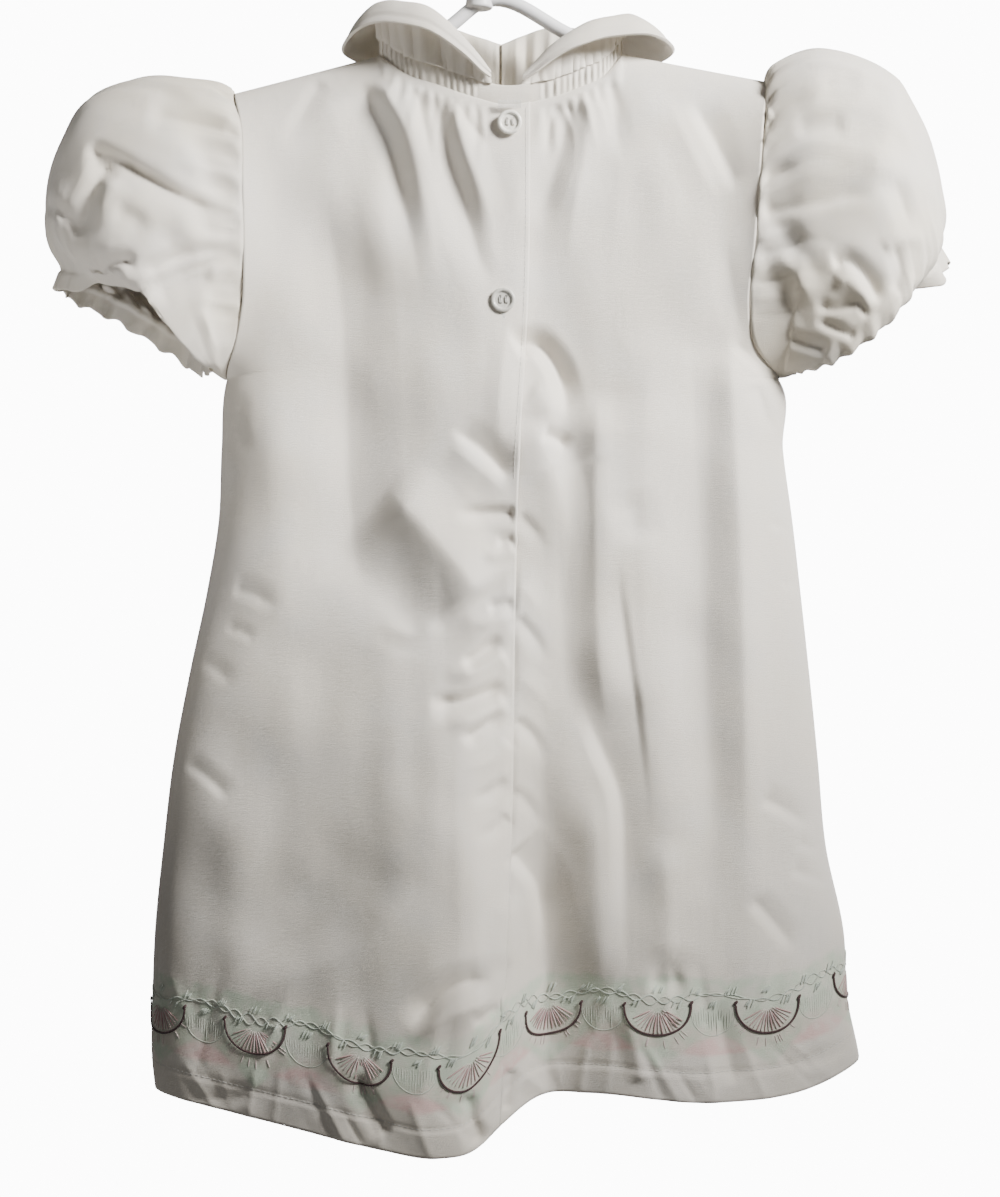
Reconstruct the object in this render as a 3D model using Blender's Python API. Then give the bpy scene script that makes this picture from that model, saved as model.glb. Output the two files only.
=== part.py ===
"""Toddler dress with puff sleeves, hung on a thin plastic hanger, modelled as its sewn pieces.

Sizes are in millimetres and become metres when a mesh is made. X runs to the wearer's right as the
back is seen, +Z is up, and the back faces -Y. The origin is the top of the hanger hook's inside,
where the hook sits on a rail, and "drop" is the distance below it.
"""

from collections import namedtuple

import bmesh
import bpy
import numpy as np

MM = 0.001

# Driving sizes
WALL = 1.2  # cloth
COLLAR_WALL = 1.6  # two layers of cloth
HEM_WALL = 2.2  # turned-up cloth
HEM_HEIGHT = 13.0
SEAM = 0.3  # gap between pieces
BACK, FRONT = -1.0, 1.0

# The body as flat sections: half depths of the back and the front, and where the side edges are
Section = namedtuple("Section", "drop left right back front")
BODY = (
    Section(99, -119.5, 127.0, 19, 20),
    Section(120, -113.5, 124.0, 22, 22),
    Section(150, -111.5, 121.5, 24, 24),
    Section(180, -110.8, 119.0, 26, 25),
    Section(205, -112.0, 117.0, 27, 26),
    Section(222, -116.0, 120.5, 28, 26),
    Section(236, -121.0, 133.0, 29, 27),
    Section(268, -123.5, 134.8, 31, 28),
    Section(300, -124.8, 139.0, 32, 29),
    Section(335, -130.5, 143.0, 34, 30),
    Section(370, -138.0, 146.8, 36, 31),
    Section(410, -145.5, 150.8, 38, 32),
    Section(450, -150.3, 154.5, 40, 33),
    Section(490, -154.2, 162.8, 42, 34),
    Section(520, -155.3, 164.5, 43, 35),
    Section(548, -155.5, 170.0, 44, 36),
    Section(566, -153.5, 171.5, 44, 36),
)
UNDERARM_DROP = 236.0
ARMHOLE_DEPTH = 24.0  # half the width of the armhole loop
SIDE_ROUND = 3.0  # power that rounds the body towards its side seams
ARM_ROUND = 8.0  # and the power that keeps an armhole's spread close to its edge
SHOULDER_ROUND = 30.0  # how softly the cloth falls away from the shoulder seam
FOLDS_FROM = 18.0  # folds reach their full height this far below the top edge

# Top edge: shoulder tip, neck point, dip of the neck, neck point, shoulder tip
TopEdge = namedtuple("TopEdge", "x back_drop front_drop")
TOP = (
    TopEdge(-119.5, 105.0, 105.0),
    TopEdge(-51.0, 87.0, 87.0),
    TopEdge(-39.0, 97.0, 96.0),
    TopEdge(-23.0, 103.5, 101.0),
    TopEdge(-8.0, 109.0, 105.0),
    TopEdge(6.0, 112.5, 106.5),
    TopEdge(24.0, 110.0, 105.0),
    TopEdge(42.0, 103.5, 100.0),
    TopEdge(52.0, 98.0, 95.0),
    TopEdge(61.0, 86.5, 86.5),
    TopEdge(127.0, 99.0, 99.0),
)
NECK_LEFT, NECK_RIGHT = -51.0, 61.0
NECK_DEPTH = {BACK: 17.0, FRONT: 20.0}

# Bottom edge of the back and the front
HemEdge = namedtuple("HemEdge", "x back_drop front_drop")
HEM = (
    HemEdge(-155.0, 560.0, 560.0),
    HemEdge(-131.0, 563.5, 561.0),
    HemEdge(-84.0, 571.0, 559.0),
    HemEdge(-50.0, 576.5, 556.0),
    HemEdge(-22.0, 579.5, 555.0),
    HemEdge(-6.0, 576.5, 556.0),
    HemEdge(5.0, 568.5, 557.0),
    HemEdge(18.0, 560.5, 558.0),
    HemEdge(45.0, 557.0, 557.0),
    HemEdge(100.0, 560.0, 553.0),
    HemEdge(145.0, 556.0, 549.0),
    HemEdge(171.0, 546.5, 546.5),
)

# Placket: the left back laps over the right one down to its end, and a seam runs on to the hem
CentreLine = namedtuple("CentreLine", "drop x")
CENTRE_BACK = (
    CentreLine(100, 18.4),
    CentreLine(200, 17.4),
    CentreLine(282, 12.9),
    CentreLine(340, 11.5),
    CentreLine(430, 10.1),
    CentreLine(520, 6.9),
    CentreLine(580, 4.2),
)
UNDERLAP = 16.0
UNDERLAP_DEPTH = 1.7
UNDERLAP_REACH = 30.0  # the right back comes level with the left one this far from the seam
PLACKET_END = 278.0
PLACKET_STEP = 6.0  # height over which the underlap narrows to the seam
PLACKET_FADE = 26.0  # below that the right back starts to come up level
PLACKET_RISE = 34.0  # and has done so this much further down
PLACKET_MIDDLE = 12.0  # x near which the centre back runs

# Folds: (x, drop) of both ends, sideways bow of the middle, half width, height (troughs below 0)
Fold = namedtuple("Fold", "x0 drop0 x1 drop1 bow width height")
BACK_FOLDS = (
    Fold(-60, 92, -31, 206, -4, 9, -6.5),
    Fold(-25, 104, 4, 196, -4, 8, -5.0),
    Fold(-45, 96, -14, 190, -4, 8, 3.5),
    Fold(-82, 130, -46, 345, 6, 20, -7.0),
    Fold(-100, 180, -92, 520, 8, 24, 5.0),
    Fold(38, 100, 22, 176, 4, 8, -4.5),
    Fold(88, 104, 118, 160, -4, 9, -3.5),
    Fold(22, 205, 72, 520, 16, 12, -10.0),
    Fold(60, 290, 76, 475, -3, 11, -5.0),
    Fold(101, 225, 114, 470, 4, 17, -10.0),
    Fold(86, 240, 96, 560, 5, 12, 5.0),
    Fold(-42, 285, -8, 335, -4, 10, -6.5),
    Fold(-30, 366, 6, 352, 3, 8, -5.5),
    Fold(-34, 382, 6, 386, 3, 8, 5.5),
    Fold(-28, 402, 6, 394, 4, 8, -6.0),
    Fold(-30, 515, 4, 500, 5, 8, -5.0),
    Fold(-62, 420, -30, 640, 4, 42, 17.0),
    Fold(26, 440, 36, 640, -4, 17, -17.0),
)
FRONT_FOLDS = (
    Fold(-70, 96, -52, 300, -6, 14, -5.0),
    Fold(-34, 100, -40, 320, 5, 11, -4.5),
    Fold(4, 104, 8, 360, 3, 12, -5.5),
    Fold(44, 100, 52, 330, -5, 12, -5.0),
    Fold(76, 96, 92, 270, 6, 13, -4.0),
    Fold(-104, 300, -112, 620, 5, 18, -9.0),
    Fold(-52, 330, -58, 640, -5, 20, 8.0),
    Fold(-4, 340, -2, 640, 4, 18, -9.0),
    Fold(54, 330, 58, 640, 5, 20, 8.0),
    Fold(108, 290, 122, 620, -5, 18, -9.0),
)

# Grids of the panels: rows round half an armhole and down the skirt, and columns beside and under
# the neck
ARMHOLE_ROWS = 12
SKIRT_ROWS = 15
MEAN_HEM_DROP = 565.0
HEM_REACH = 1.2  # the doubled cloth reaches the row above it
SIDE_COLUMNS, FRONT_SIDE_COLUMNS = 6, 5
HALF_NECK_COLUMNS, NECK_COLUMNS = 8, 12
TOP_BIAS, LOWER_BIAS = 1.2, 1.35  # how columns crowd towards the side edges
EVEN_FROM = 0.6  # row parameter from which the columns are evenly spaced

# Sleeves: rings that fan about the underarm, from the armhole to the elastic. A slip moves a
# ring's near or far side along the sleeve.
Ring = namedtuple("Ring", "outer_x outer_drop under_x under_drop near far near_slip far_slip")
LEFT_RINGS = (
    Ring(-126.0, 99.6, -122.0, 235.6, 28.0, 27.0, 0, 0),
    Ring(-143.0, 96.4, -123.0, 235.0, 33.0, 31.0, 1, 0),
    Ring(-165.0, 98.2, -124.0, 234.2, 36.0, 33.5, 2, 0),
    Ring(-184.0, 107.0, -125.0, 233.4, 38.0, 34.0, 3, 0),
    Ring(-196.5, 127.0, -126.0, 232.4, 38.0, 33.5, 4, 0),
    Ring(-203.5, 150.0, -127.0, 231.2, 35.0, 32.0, 0, 0),
    Ring(-203.0, 168.5, -128.0, 230.2, 31.0, 29.0, -6, -2),
    Ring(-196.5, 183.0, -129.0, 229.2, 26.0, 25.0, -13, -4),
)
RIGHT_RINGS = (
    Ring(131.5, 90.4, 134.0, 235.6, 28.0, 27.0, 0, 0),
    Ring(148.0, 83.8, 135.0, 235.3, 33.0, 31.0, 1, 0),
    Ring(168.0, 87.0, 136.0, 235.0, 36.0, 33.5, 2, 0),
    Ring(186.5, 97.8, 137.0, 234.6, 38.0, 34.0, 4, 0),
    Ring(197.5, 120.0, 138.0, 234.2, 38.0, 33.5, 7, 0),
    Ring(205.0, 144.0, 139.0, 233.8, 35.5, 32.0, 11, 0),
    Ring(207.0, 160.0, 140.0, 233.2, 31.5, 29.0, 14, -1),
    Ring(204.5, 172.0, 141.0, 232.4, 26.0, 25.0, 11, -3),
)
SLEEVE_COLUMNS = 48
SLEEVE_GATHER = 1.6  # height of the gathers at the armhole
GATHER_LEFT = (0.75, 0.3)  # share of it left on the first rings
CUFF_GATHER = 1.6  # height of the gathers at the elastic
CUFF_GATHER_LEFT = (1.0, 0.5)  # share of it on the last rings, from the elastic back
PLAIN_UNDERARM, PLAIN_FADE = -0.75, 0.4  # cosines of the angle where the armhole has no gathers
RUFFLE_LENGTH = 8.0
RUFFLE_WAVE = 1.5
SLEEVE_GAP = 0.35
# Part of the cuff whose ruffle hangs free, in degrees either side of the outer end (near, far);
# the rest is turned under
LEFT_FREE = (42.0, 200.0)
RIGHT_FREE = (48.0, 60.0)
LEFT_LEAN, RIGHT_LEAN = 1.1, 0.0  # how much more a slip moves the lower half of a ring
TUCK_FADE = 24.0  # degrees over which it turns under
TUCK = 0.85  # how far it turns
TUCK_CALM = 0.7  # share of its waves that this hides
FLARE, FLARE_LEAN = 0.1, 0.45  # the free ruffle's spread, less at its outer end

# Neck casing
BAND_HEIGHT = 8.5
BAND_PLEAT = 0.8
PLEAT_ENDS = 0.15  # how flat the pleats are at both edges
LEFT_PLEATS, RIGHT_PLEATS, FRONT_PLEATS = 28, 24, 44
TAB_FROM = -4.0  # the casing lies flat beside the placket
TAB_TO = 22.0

# Collar: sections round the neck, from the centre back (0 degrees) to the centre front (180)
Roll = namedtuple("Roll", "angle roll_out roll_up edge_out edge_up")
LEFT_COLLAR = (
    Roll(4.5, 2.0, 5.0, 4.5, 2.2),
    Roll(8, 3.0, 9.3, 7.0, 3.6),
    Roll(15, 4.5, 15.5, 10.0, 8.0),
    Roll(25, 6.0, 21.5, 12.5, 11.5),
    Roll(35, 6.5, 25.0, 13.5, 13.5),
    Roll(50, 6.5, 24.0, 14.0, 13.0),
    Roll(70, 5.0, 17.0, 15.0, 5.0),
    Roll(90, 4.5, 11.0, 17.5, -5.0),
    Roll(112, 5.0, 15.0, 18.0, -5.0),
    Roll(135, 5.5, 21.0, 18.0, -6.0),
    Roll(158, 6.0, 26.0, 17.0, -6.0),
    Roll(172, 5.0, 24.0, 13.0, 2.0),
    Roll(179.5, 3.0, 22.0, 7.0, 10.0),
)
RIGHT_COLLAR = (
    Roll(10, 2.0, 4.5, 4.5, 2.2),
    Roll(15, 3.0, 9.0, 7.0, 4.0),
    Roll(22, 5.0, 14.0, 10.0, 7.0),
    Roll(30, 6.0, 17.0, 12.0, 9.0),
    Roll(40, 6.5, 19.5, 13.0, 9.5),
    Roll(50, 7.0, 19.5, 14.0, 9.5),
    Roll(70, 7.5, 12.5, 19.0, 1.5),
    Roll(90, 8.0, 5.5, 24.0, -6.0),
    Roll(112, 7.0, 12.0, 21.0, -6.0),
    Roll(135, 6.0, 20.0, 18.0, -6.0),
    Roll(158, 6.0, 28.0, 17.0, -6.0),
    Roll(172, 5.0, 25.0, 13.0, 2.0),
    Roll(179.5, 3.0, 22.0, 7.0, 10.0),
)
ROLL_PLACES = (0, 0.35, 0.62, 0.82, 1.0)  # shares of a section: foot, stand, roll, fall, free edge
ROLL = ROLL_PLACES[2]
STAND_OUT, STAND_UP = 0.15, 0.6  # where the stand runs, as shares of the roll's place
FALL_OUT, FALL_UP = 1.0, 1.5  # how far the fall bulges
COLLAR_COLUMNS, COLLAR_ROWS = 33, 9
STAND_FOLDS = 8  # soft upright folds in each half's stand
STAND_FOLD_HEIGHT = 0.9
COLLAR_LIFT = 0.5  # gap over the casing

# Buttons
BUTTON_RADIUS = 5.5
BUTTON_RIM = 1.1
BUTTON_THICK = 2.2
BUTTON_DISH = 0.7
BUTTON_ROUND = 0.5
BUTTON_REST = 20.0  # cloth within this reach holds a button off the dress
BUTTON_HOLE_RADIUS = 0.7
BUTTON_HOLE_SPACING = 2.6
BUTTON_TOP = (9.0, 121.7)  # x and drop
BUTTON_LOW = (6.0, 202.5)

# Hanger
ARM_RADIUS = 3.2
ARM_END_LEFT, ARM_END_RIGHT = -110.0, 117.0
SEAT_SLOPE = 1.12  # an arm's centre lies further down than square to the sloping shoulder
BOSS_X = -5.0
BOSS_TOP, BOSS_BOTTOM = 49.0, 65.5
BOSS_RADIUS = 6.5
BOSS_TIP_RADIUS = 4.7
BOSS_ROUND = 1.5
ARM_RISE = 12.0  # the arms start to rise to the boss this far outside the neck points
ArmPoint = namedtuple("ArmPoint", "x drop")
ARM_MIDDLE = (ArmPoint(-18.0, 73.0), ArmPoint(BOSS_X, 62.8), ArmPoint(35.0, 76.4))
HOOK_RADIUS = 3.0
HOOK_INSIDE = 17.0
HOOK_FROM, HOOK_TO = -52.0, 196.0  # degrees
SHANK_IN_BOSS, SHANK_STRAIGHT, SHANK_BEND = 6.0, 3.0, 18.0

# Looks
WHITE_CLOTH, CLOTH_ROUGHNESS = (0.80, 0.79, 0.76), 0.7
PEARL, LOW_PEARL, MILKY = (0.86, 0.85, 0.80), (0.78, 0.77, 0.72), (0.88, 0.88, 0.90)
PEARL_ROUGHNESS, MILKY_ROUGHNESS = 0.3, 0.35
SHARP = 40.0  # degrees between faces that stay a sharp edge


def through(at, places, values):
    """Height at each place of a smooth curve through a short table."""
    places = np.asarray(places, float)
    values = np.asarray(values, float)
    slopes = np.gradient(values, places)
    row = np.clip(np.searchsorted(places, at) - 1, 0, len(places) - 2)
    span = places[row + 1] - places[row]
    u = np.clip((at - places[row]) / span, 0, 1)
    rise = 3 * u**2 - 2 * u**3
    level = (1 - rise) * values[row] + rise * values[row + 1]
    return level + span * u * (1 - u) * ((1 - u) * slopes[row] - u * slopes[row + 1])


def column(table, name):
    return [getattr(row, name) for row in table]


def ease(u):
    u = np.clip(u, 0, 1)
    return u * u * (3 - 2 * u)


def side_edges(drop):
    drops = column(BODY, "drop")
    return through(drop, drops, column(BODY, "left")), through(drop, drops, column(BODY, "right"))


def top_drop(side, x):
    """Shoulder seams are straight, and the neck edge between them is curved."""
    name = "back_drop" if side == BACK else "front_drop"
    neck = [row for row in TOP if NECK_LEFT <= row.x <= NECK_RIGHT]
    curved = through(x, column(neck, "x"), column(neck, name))
    straight = np.interp(x, column(TOP, "x"), column(TOP, name))
    return np.where((x > NECK_LEFT) & (x < NECK_RIGHT), curved, straight)


def hem_drop(side, x):
    name = "back_drop" if side == BACK else "front_drop"
    return through(x, column(HEM, "x"), column(HEM, name))


def centre_back(drop):
    return through(drop, column(CENTRE_BACK, "drop"), column(CENTRE_BACK, "x"))


def neck_depth(side, x):
    """Half depth of the neck ring, an ellipse between the neck points."""
    middle = (NECK_LEFT + NECK_RIGHT) / 2
    across = np.clip(np.abs(x - middle) / (NECK_RIGHT - middle), 0, 1)
    return NECK_DEPTH[side] * np.sqrt(1 - across**2)


def fold_height(folds, x, drop):
    """Sum of soft ridges and troughs, each tapering to both its ends."""
    total = np.zeros(np.broadcast(x, drop).shape)
    for fold in folds:
        length = np.hypot(fold.x1 - fold.x0, fold.drop1 - fold.drop0)
        ax = (fold.x1 - fold.x0) / length
        ad = (fold.drop1 - fold.drop0) / length
        along = ((x - fold.x0) * ax + (drop - fold.drop0) * ad) / length
        away = (x - fold.x0) * ad - (drop - fold.drop0) * ax
        u = np.clip(along, 0, 1)
        away = away - fold.bow * 4 * u * (1 - u)
        total += fold.height * np.sin(np.pi * u) ** 0.8 * np.exp(-((away / fold.width) ** 2))
    return total


def down_fraction(down, edge_drops):
    """Share of a column's height at row parameter down: 0 top, 1 underarm, 2 hem."""
    top, hem = edge_drops
    underarm = (UNDERARM_DROP - top) / (hem - top)
    arm = underarm * (1 - np.cos(np.pi * np.clip(down, 0, 1))) / 2
    return np.where(down < 1, arm, underarm + (1 - underarm) * np.clip(down - 1, 0, 1))


def body_edges(down):
    """Side edges (x) at a row parameter."""
    left_drops, right_drops = (TOP[0].back_drop, HEM[0].back_drop), (TOP[-1].back_drop, HEM[-1].back_drop)
    left_drop = left_drops[0] + (left_drops[1] - left_drops[0]) * down_fraction(down, left_drops)
    right_drop = right_drops[0] + (right_drops[1] - right_drops[0]) * down_fraction(down, right_drops)
    return side_edges(left_drop)[0], side_edges(right_drop)[1]


def body_drop(side, x, down):
    left, right = body_edges(down)
    a = np.clip((x - left) / (right - left), 0, 1)
    left_top, right_top = body_edges(np.zeros_like(down))
    left_hem, right_hem = body_edges(np.full_like(down, 2.0))
    top = top_drop(side, left_top + (right_top - left_top) * a)
    hem = hem_drop(side, left_hem + (right_hem - left_hem) * a)
    left_share = down_fraction(down, (TOP[0].back_drop, HEM[0].back_drop))
    right_share = down_fraction(down, (TOP[-1].back_drop, HEM[-1].back_drop))
    share = left_share + (right_share - left_share) * a
    return top + (hem - top) * share, top, a


def body_point(side, x, down):
    """Outer face of the body at x and row parameter, as x, y, z."""
    drop, top, a = body_drop(side, x, down)
    below = np.maximum(drop - top, 0)
    drops = column(BODY, "drop")
    full = through(drop, drops, column(BODY, "back" if side == BACK else "front"))
    left_top, right_top = body_edges(np.zeros_like(down))
    ring = neck_depth(side, left_top + (right_top - left_top) * a)
    depth = ring + (full - ring) * np.sqrt(below / (below + SHOULDER_ROUND))
    arm = ARMHOLE_DEPTH * np.sin(np.pi * np.clip(down, 0, 1))
    side_share = np.abs(2 * a - 1) ** SIDE_ROUND
    arm_share = np.abs(2 * a - 1) ** ARM_ROUND
    depth = np.sqrt(arm**2 * arm_share + depth**2 * (1 - side_share))
    folds = fold_height(BACK_FOLDS if side == BACK else FRONT_FOLDS, x, drop)
    depth = depth + folds * (1 - side_share**2) * ease(below / FOLDS_FROM)
    depth = np.maximum(depth, SEAM / 2)
    return np.stack([x, side * depth, -drop], axis=-1)


def shares(start, end, count, bias=1.0):
    """Column places from start to end, closer together near the start when bias is over 1."""
    return start + (end - start) * (np.arange(count + 1) / count) ** bias


def neck_shares(x_from, x_to, start, end, count):
    """Column places that follow the neck ring's angle."""
    middle = (NECK_LEFT + NECK_RIGHT) / 2
    half = (NECK_RIGHT - NECK_LEFT) / 2
    angle = np.linspace(np.arcsin(np.clip((x_from - middle) / half, -1, 1)),
                        np.arcsin(np.clip((x_to - middle) / half, -1, 1)), count + 1)
    x = middle + half * np.sin(angle)
    return start + (end - start) * (x - x_from) / (x_to - x_from)


def row_places():
    """Row parameters: 15 degree steps round the armhole, even steps below, and the hem's fold."""
    skirt = np.linspace(1, 2 - HEM_HEIGHT / (MEAN_HEM_DROP - UNDERARM_DROP), SKIRT_ROWS + 1)
    return np.concatenate([np.linspace(0, 1, ARMHOLE_ROWS + 1), skirt[1:], [2.0]])


def spread(at_top, lower, down):
    """Columns keep the neck's spacing at the top and even out lower down."""
    mix = ease(down / EVEN_FROM)[:, None]
    return at_top[None, :] * (1 - mix) + lower[None, :] * mix


def top_places():
    """X of the top edge's left end, of the placket there and of its right end."""
    left, right = body_edges(np.zeros(1))
    return left[0], float(centre_back(top_drop(BACK, np.array(PLACKET_MIDDLE)))), right[0]


def left_back_points(down):
    left_end, placket, _ = top_places()
    neck_share = (NECK_LEFT - left_end) / (placket - left_end)
    at_top = np.concatenate([shares(0, neck_share, SIDE_COLUMNS, TOP_BIAS)[:-1],
                             neck_shares(NECK_LEFT, placket, neck_share, 1, HALF_NECK_COLUMNS)])
    lower = np.concatenate([shares(0, neck_share, SIDE_COLUMNS, LOWER_BIAS)[:-1],
                            shares(neck_share, 1, HALF_NECK_COLUMNS)])
    c = spread(at_top, lower, down)
    rows = np.broadcast_to(down[:, None], c.shape)
    left = body_edges(rows)[0]
    seam = centre_back(body_drop(BACK, np.full(c.shape, PLACKET_MIDDLE), rows)[0])
    return body_point(BACK, left + (seam - left) * c, rows)


def right_back_points(down):
    _, placket, right_end = top_places()
    first = placket - UNDERLAP
    neck_share = (NECK_RIGHT - first) / (right_end - first)
    at_top = np.concatenate([neck_shares(first, NECK_RIGHT, 0, neck_share, HALF_NECK_COLUMNS)[:-1],
                             1 - shares(0, 1 - neck_share, SIDE_COLUMNS, TOP_BIAS)[::-1]])
    lower = np.concatenate([shares(0, neck_share, HALF_NECK_COLUMNS)[:-1],
                            1 - shares(0, 1 - neck_share, SIDE_COLUMNS, LOWER_BIAS)[::-1]])
    c = spread(at_top, lower, down)
    rows = np.broadcast_to(down[:, None], c.shape)
    right = body_edges(rows)[1]
    middle = body_drop(BACK, np.full(c.shape, PLACKET_MIDDLE), rows)[0]
    seam = centre_back(middle)
    start = seam - UNDERLAP + (UNDERLAP + SEAM) * ease((middle - PLACKET_END) / PLACKET_STEP)
    points = body_point(BACK, start + (right - start) * c, rows)
    behind = 1 - ease((middle - PLACKET_END - PLACKET_FADE) / PLACKET_RISE)
    points[..., 1] += UNDERLAP_DEPTH * behind * (1 - ease((points[..., 0] - seam - 2) / UNDERLAP_REACH))
    return points


def front_points(down):
    left_end, _, right_end = top_places()
    left_share = (NECK_LEFT - left_end) / (right_end - left_end)
    right_share = (NECK_RIGHT - left_end) / (right_end - left_end)
    first = shares(0, left_share, FRONT_SIDE_COLUMNS, TOP_BIAS)[:-1]
    last = 1 - shares(0, 1 - right_share, FRONT_SIDE_COLUMNS, TOP_BIAS)[::-1]
    neck = neck_shares(NECK_LEFT, NECK_RIGHT, left_share, right_share, NECK_COLUMNS)
    at_top = np.concatenate([first, neck, last[1:]])
    lower = np.concatenate([first, shares(left_share, right_share, NECK_COLUMNS), last[1:]])
    c = spread(at_top, lower, down)
    rows = np.broadcast_to(down[:, None], c.shape)
    left, right = body_edges(rows)
    return body_point(FRONT, left + (right - left) * c, rows)


def normals(points, closed):
    """Unit normals of a grid of points, rows by columns."""
    if closed:
        ring = points[:, :-1]
        around = np.roll(ring, -1, axis=1) - np.roll(ring, 1, axis=1)
        around = np.concatenate([around, around[:, :1]], axis=1)
    else:
        around = np.gradient(points, axis=1)
    n = np.cross(around, np.gradient(points, axis=0))
    return n / np.linalg.norm(n, axis=-1, keepdims=True)


def inside(points, thick, middle, closed=False):
    """Inner face of a wall: the outer points moved in, where outward is away from middle."""
    n = normals(points, closed)
    outward = np.sign(np.sum(n[:3] * (points[:3] - middle)))
    return points - n * outward * thick


def cloth(name, outer, inner, material, closed=False):
    """Closed wall between two grids of points. A closed one joins its last column to its first."""
    rows, columns = outer.shape[:2]
    bm = bmesh.new()
    bmesh.ops.create_grid(bm, x_segments=columns - 1, y_segments=rows - 1, size=1)
    row_of = bm.verts.layers.int.new("row")
    column_of = bm.verts.layers.int.new("column")
    for vert in bm.verts:
        vert[column_of] = round((vert.co.x + 1) / 2 * (columns - 1))
        vert[row_of] = round((vert.co.y + 1) / 2 * (rows - 1))
        vert.co = outer[vert[row_of], vert[column_of]] * MM
    if closed:
        bmesh.ops.remove_doubles(bm, verts=bm.verts, dist=1e-7)
    grown = bmesh.ops.extrude_face_region(bm, geom=bm.faces[:], use_keep_orig=True)
    for item in grown["geom"]:
        if isinstance(item, bmesh.types.BMVert):
            item.co = inner[item[row_of], item[column_of]] * MM
    bmesh.ops.recalc_face_normals(bm, faces=bm.faces[:])
    return finished(name, bm, material)


def finished(name, bm, material):
    mesh = bpy.data.meshes.new(name)
    bm.to_mesh(mesh)
    bm.free()
    mesh.shade_smooth()
    mesh.set_sharp_from_angle(angle=np.radians(SHARP))
    mesh.materials.append(material)
    thing = bpy.data.objects.new(name, mesh)
    parts.objects.link(thing)
    return thing


def panel(name, side, points, material):
    """A body panel: one wall, doubled at the hem, its inside kept clear of the seams."""
    drops = -points[..., 2]
    thick = np.where(drops > drops[-1] - HEM_HEIGHT * HEM_REACH, HEM_WALL, WALL)
    inner = inside(points, thick[..., None], (0, 0, -UNDERARM_DROP))
    inner[..., 1] = side * np.maximum(inner[..., 1] * side, SEAM / 2)
    inner[:, 0, 0] = np.maximum(inner[:, 0, 0], points[:, 0, 0])
    inner[:, -1, 0] = np.minimum(inner[:, -1, 0], points[:, -1, 0])
    return cloth(name, points, inner, material)


def armhole_loop(right):
    """Points of the armhole edge, from the shoulder round the back to the underarm and up the front."""
    down = np.linspace(0, 1, ARMHOLE_ROWS + 1)
    x = body_edges(down)[1 if right else 0]
    back = body_point(BACK, x, down)
    front = body_point(FRONT, x, down)
    back[[0, -1], 1] = 0
    loop = np.concatenate([back, front[-2::-1]])
    steps = np.linspace(0, len(loop) - 1, SLEEVE_COLUMNS + 1)
    return np.stack([np.interp(steps, np.arange(len(loop)), loop[:, k]) for k in range(3)], axis=-1)


def sleeve_ring(row, angle, right, lean):
    """One ring of a sleeve, angle 0 at its outer end, going round by the near side."""
    outer = np.array([row.outer_x, 0, -row.outer_drop])
    under = np.array([row.under_x, 0, -row.under_drop])
    middle, chord = (outer + under) / 2, (outer - under) / 2
    turn = 1 if right else -1
    axis = np.array([-chord[2], 0, chord[0]]) * turn
    axis = -axis / np.linalg.norm(axis) if axis[2] > 0 else axis / np.linalg.norm(axis)
    c, s = np.cos(angle), np.sin(angle)
    depth = np.where(s > 0, row.near, row.far)
    slip = np.where(s > 0, row.near_slip, row.far_slip) * np.abs(s) ** 1.5 * (1 - lean * c)
    y = np.array([0, -1.0, 0])
    return middle + chord * c[:, None] + y * (depth * s)[:, None] + axis * slip[:, None], axis


def sleeve(name, rings, right, free, lean, material):
    """Puff sleeve: armhole ring, fanned rings, elastic, and a ruffle that is partly turned under."""
    angle = np.linspace(0, 2 * np.pi, SLEEVE_COLUMNS + 1)
    number = np.arange(SLEEVE_COLUMNS + 1) % SLEEVE_COLUMNS
    zigzag = np.where(number % 2 == 0, 1.0, -1.0) * (0.8 + 0.2 * np.sin(number * 2.3))
    start = armhole_loop(right)
    outward = 1 if right else -1
    centre = start[:-1].mean(axis=0)
    start = start + (centre - start) * np.array([0, 1, 1]) * (SLEEVE_GAP / ARMHOLE_DEPTH)
    start[:, 0] += outward * SLEEVE_GAP
    radial = (start - centre) * [0, 1, 1]
    radial /= np.linalg.norm(radial, axis=1, keepdims=True)
    upper = ease((np.cos(angle) - PLAIN_UNDERARM) / PLAIN_FADE)
    grid = [start + radial * (zigzag * upper * SLEEVE_GATHER)[:, None]]
    plain = (0,) * len(rings)
    from_arm = (GATHER_LEFT + plain)[:len(rings)]
    to_cuff = (CUFF_GATHER_LEFT + plain)[:len(rings)][::-1]
    for row, arm_share, cuff_share in zip(rings, from_arm, to_cuff):
        points, axis = sleeve_ring(row, angle, right, lean)
        radial = points - points[:-1].mean(axis=0)
        radial /= np.linalg.norm(radial, axis=1, keepdims=True)
        height = arm_share * SLEEVE_GATHER * upper + cuff_share * CUFF_GATHER
        grid.append(points + radial * (zigzag * height)[:, None])
    cuff = grid[-1]
    degrees = np.degrees(angle)
    from_free = np.minimum(degrees - free[0], 360 - degrees - free[1])
    tucked = ease(from_free / TUCK_FADE + 0.5)
    flare = (FLARE - FLARE_LEAN * np.cos(angle)) * (1 - tucked) - TUCK * tucked
    heading = axis * (1 - TUCK * tucked)[:, None] + radial * flare[:, None]
    heading /= np.linalg.norm(heading, axis=1, keepdims=True)
    for share in (0.5, 1.0):
        wave = radial * (zigzag * RUFFLE_WAVE * share * (1 - TUCK_CALM * tucked))[:, None]
        grid.append(cuff + heading * RUFFLE_LENGTH * share + wave)
    grid = np.array(grid)
    inner = inside(grid, WALL, grid[0, :-1].mean(axis=0), closed=True)
    return cloth(name, grid, inner, material, closed=True)


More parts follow.
